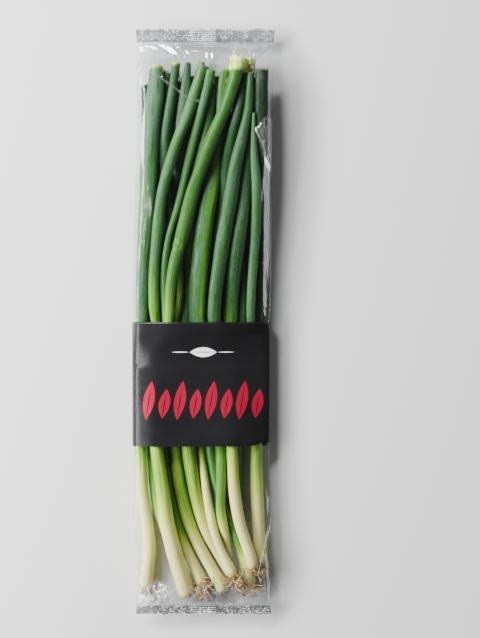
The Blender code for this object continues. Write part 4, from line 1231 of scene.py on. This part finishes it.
def dry_roots():
    """Roots, root plates and flakes: brown to straw, mottled, darker at the tips."""
    f = Finish("dry_roots")
    shade, tip, which, _ = f.stored("tint")
    mottle = f.cloud(f.stored("grain")[3], 0.9, 3.0)
    colour = f.ramp(
        f.clip(shade + (which - 0.5) * 0.8 + (mottle - 0.5) * 0.5),
        (0.00, (0.09, 0.045, 0.016)),
        (0.45, (0.44, 0.26, 0.10)),
        (1.00, (0.86, 0.66, 0.38)),
    )
    colour = f.mix(tip * 0.25, colour, (0.20, 0.11, 0.045))
    return f.show(f.surface(colour, 0.8 + (mottle - 0.5) * 0.2, f.bump(mottle, 0.0003, 0.6)))


def clear_film(name, sealed):
    """Clear film: it lets most light through and shines where it faces a lamp. Sealed film is hazier."""
    f = Finish(name)
    x, y, _, place = f.stored("grain")
    scuffs = f.cloud(f.stretch(place, 0.12, 0.05, 0.12), 1.0, 4.0, 0.6)
    height = scuffs * 0.6
    if sealed:
        crimp = f.cloud(f.stretch(place, 0.7, 1.3, 0.0), 1.0, 2.0)
        height = height + crimp * 1.3
    normal = f.bump(height, 0.0012, 1.0 if sealed else 0.35)
    turned = f.wire(f.node("ShaderNodeLayerWeight", Blend=0.5, Normal=normal), 1)
    shine = turned**4.0 * 0.94 + 0.06
    if sealed:
        middle = 1.0 - f.step(f.sum("ABSOLUTE", x + 0.5), 8.5, 9.5)
        lines = f.step(f.sum("SINE", y * 4.6), 0.2, 0.7) * middle
        folded = f.cloud(f.stretch(place, 0.16, 0.22, 0.0), 1.0, 2.0)
        white = f.clip(f.step(crimp, 0.50, 0.60) * (f.step(folded, 0.36, 0.62) * 0.55 + 0.10) + lines * 0.45)
        haze = f.clip(shine + 0.03 + white)
    else:
        # The body's tint: white is partly whitened film and partly painted highlight, and makes the gloss
        # white; painted shade raises the mirror gloss, which shows the dim world as a darker line.
        white, painted_shade = f.stored("tint")[:2]
        haze = f.clip(shine * 1.05 + f.step(scuffs, 0.55, 0.85) * 0.02 + white * 0.55 + painted_shade * 0.42)
    colour, roughness = ((0.50, 0.51, 0.53), 0.22) if sealed else ((0.92, 0.93, 0.94), 0.07)
    through = f.texture("ShaderNodeBsdfTransparent", Color=colour)
    gloss = f.surface((0.90, 0.91, 0.92), roughness, normal, Metallic=1.0 - f.clip(white * 2.0))
    return f.show(f.texture("ShaderNodeMixShader", _0=haze, _1=through, _2=gloss))


def blade(f, across, ahead, wide, long, soft=0.16):
    """1 inside a slender leaf shape that is pointed at both ends, 0 outside it."""
    t = ahead / long
    return f.step(wide * (1.0 - t * t) - f.sum("ABSOLUTE", across), -soft, soft)


FRIEZE_PITCH = 10.5


def band_print():
    """Satin black print with a plain frieze of crimson leaves and a small pale one above it."""
    f = Finish("band_print")
    x, y, z, place = f.stored("grain")
    cloud = f.cloud(f.stretch(place, 0.05, 0.05, 0.05), 1.0, 3.0)
    grit = f.cloud(f.stretch(place, 3.0, 3.0, 3.0), 1.0, 2.0)
    face = f.step(z, 5.0, 7.0)
    # The crimson frieze: eight leaves, every other one shorter and lower.
    count = (x + 42.0) / FRIEZE_PITCH
    odd = f.step(f.sum("FRACT", count * 0.5), 0.499, 0.501)
    across = (f.sum("FRACT", count) - 0.5) * FRIEZE_PITCH
    up = y + 53.3 + odd * 2.2
    lean = across - up * 0.16
    leaf = blade(f, lean, up, 3.9, 13.2 - odd * 3.2)
    rib = blade(f, lean, up + 1.5, 0.32, 10.5 - odd * 2.6, 0.10)
    inside = f.step(x, -42.1, -42.0) * (1.0 - f.step(x, 41.9, 42.0))
    red = f.clip(leaf - rib) * inside * face
    # The pale leaf above it lies across the band between two dashes.
    high = y + 20.7
    small = blade(f, high, x, 3.3, 9.0) - blade(f, high, x - 1.0, 0.3, 7.5, 0.10)
    lines = blade(f, high, f.sum("ABSOLUTE", x) - 15.5, 0.34, 5.6, 0.10)
    pale = f.clip(small + lines) * face
    colour = f.mix(cloud, (0.005, 0.005, 0.0055), (0.011, 0.011, 0.012))
    colour = f.mix(red, colour, (0.25, 0.004, 0.022))
    colour = f.mix(pale, colour, (0.82, 0.82, 0.80))
    rough_ = 0.28 + (cloud - 0.5) * 0.12 + (grit - 0.5) * 0.05
    normal = f.bump(grit * 0.3 + cloud, 0.0004, 0.3)
    return f.show(f.surface(colour, rough_, normal, Specular_IOR_Level=0.36))


def floor_finish():
    """A plain pale grey surface."""
    f = Finish("pale_floor")
    shade = f.cloud(f.wire(f.node("ShaderNodeTexCoord"), 3), 2.0, 2.0)
    return f.show(f.surface(f.mix(shade, (0.60, 0.60, 0.60), (0.63, 0.63, 0.63)), 0.75))


def lamp(name, place, size, power, seen=True):
    """A soft box, aimed at the pack. One that isn't seen makes no reflection in the film."""
    light = bpy.data.lights.new(name, "AREA")
    light.shape = "RECTANGLE"
    light.size, light.size_y = size
    light.energy = power
    thing = bpy.data.objects.new(name, light)
    thing.location = place
    thing.rotation_euler = (Vector((0.0, 0.0, 0.0)) - Vector(place)).to_track_quat("-Z", "Y").to_euler()
    thing.visible_glossy = seen
    bpy.context.scene.collection.objects.link(thing)


# The floor's half width and height in millimetres, and the camera's place in metres.
FLOOR_REACH = 2500
FLOOR_AT = -0.3
CAMERA_AT = (0.0248, 0.0017, 1.215)


def studio():
    """The floor, the soft light, and the camera straight above."""
    corners = [(x * FLOOR_REACH, y * FLOOR_REACH, FLOOR_AT) for x, y in ((-1, -1), (1, -1), (1, 1), (-1, 1))]
    floor = link("floor", corners, [(0, 1, 2, 3)], False)
    floor.data.materials.append(floor_finish())
    lamp("key", (-1.06, 0.15, 0.62), (1.2, 0.45), 66.0, seen=False)
    lamp("strip", (-1.0, 0.05, 0.50), (1.3, 0.10), 19.0)
    lamp("side", (1.15, 0.0, 0.26), (1.2, 0.10), 2.4)
    lamp("head", (-0.55, 0.90, 0.75), (0.5, 0.22), 24.0)
    world = bpy.data.worlds.new("studio")
    world.use_nodes = True
    sky = world.node_tree.nodes["Background"]
    sky.inputs[0].default_value, sky.inputs[1].default_value = (1.0, 1.0, 1.0, 1.0), 0.10
    bpy.context.scene.world = world
    eye = bpy.data.cameras.new("camera")
    eye.lens, eye.sensor_width = 100.0, 36.0
    camera = bpy.data.objects.new("camera", eye)
    camera.location = CAMERA_AT
    bpy.context.scene.collection.objects.link(camera)
    bpy.context.scene.camera = camera


def main():
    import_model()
    strands = settle(lay_out())
    shanks = {s["plant"]: s for s in strands if s["part"] == 0}
    film = Film(strands)
    skin, root, ink = onion_skin(), dry_roots(), band_print()
    clear, sealed = clear_film("clear_film", False), clear_film("sealed_film", True)

    def place(piece, material, slot, *nodes):
        piece.data.materials.append(material)
        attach(piece, "root")
        if nodes:
            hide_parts(*nodes)

    for number, shank in shanks.items():
        own = [s for s in strands if s["plant"] == number and s["part"] > 0]
        place(shank_piece(number, shank), skin, "shank", f"shank_{number:02d}")
        slot = "leaves_bright" if number in (3, 9) else "leaves"
        place(leaves_piece(number, shank, own), skin, slot, f"leaves_{number:02d}")
        place(roots_piece(number, shank, film), root, "roots", f"roots_{number:02d}")
    place(film_piece(film), clear, "clear_film", "film_bag")
    place(seal_piece("film_top_seal", TOP_SEAL_AT - 0.3, 199.8, film), sealed, "clear_film")
    place(seal_piece("film_root_seal", ROOT_SEAL_AT + 0.3, -199.8, film), sealed, "clear_film")
    place(fin_piece(), clear, "clear_film")
    place(band_piece(film), ink, "band_print", "label_band")
    studio()


main()
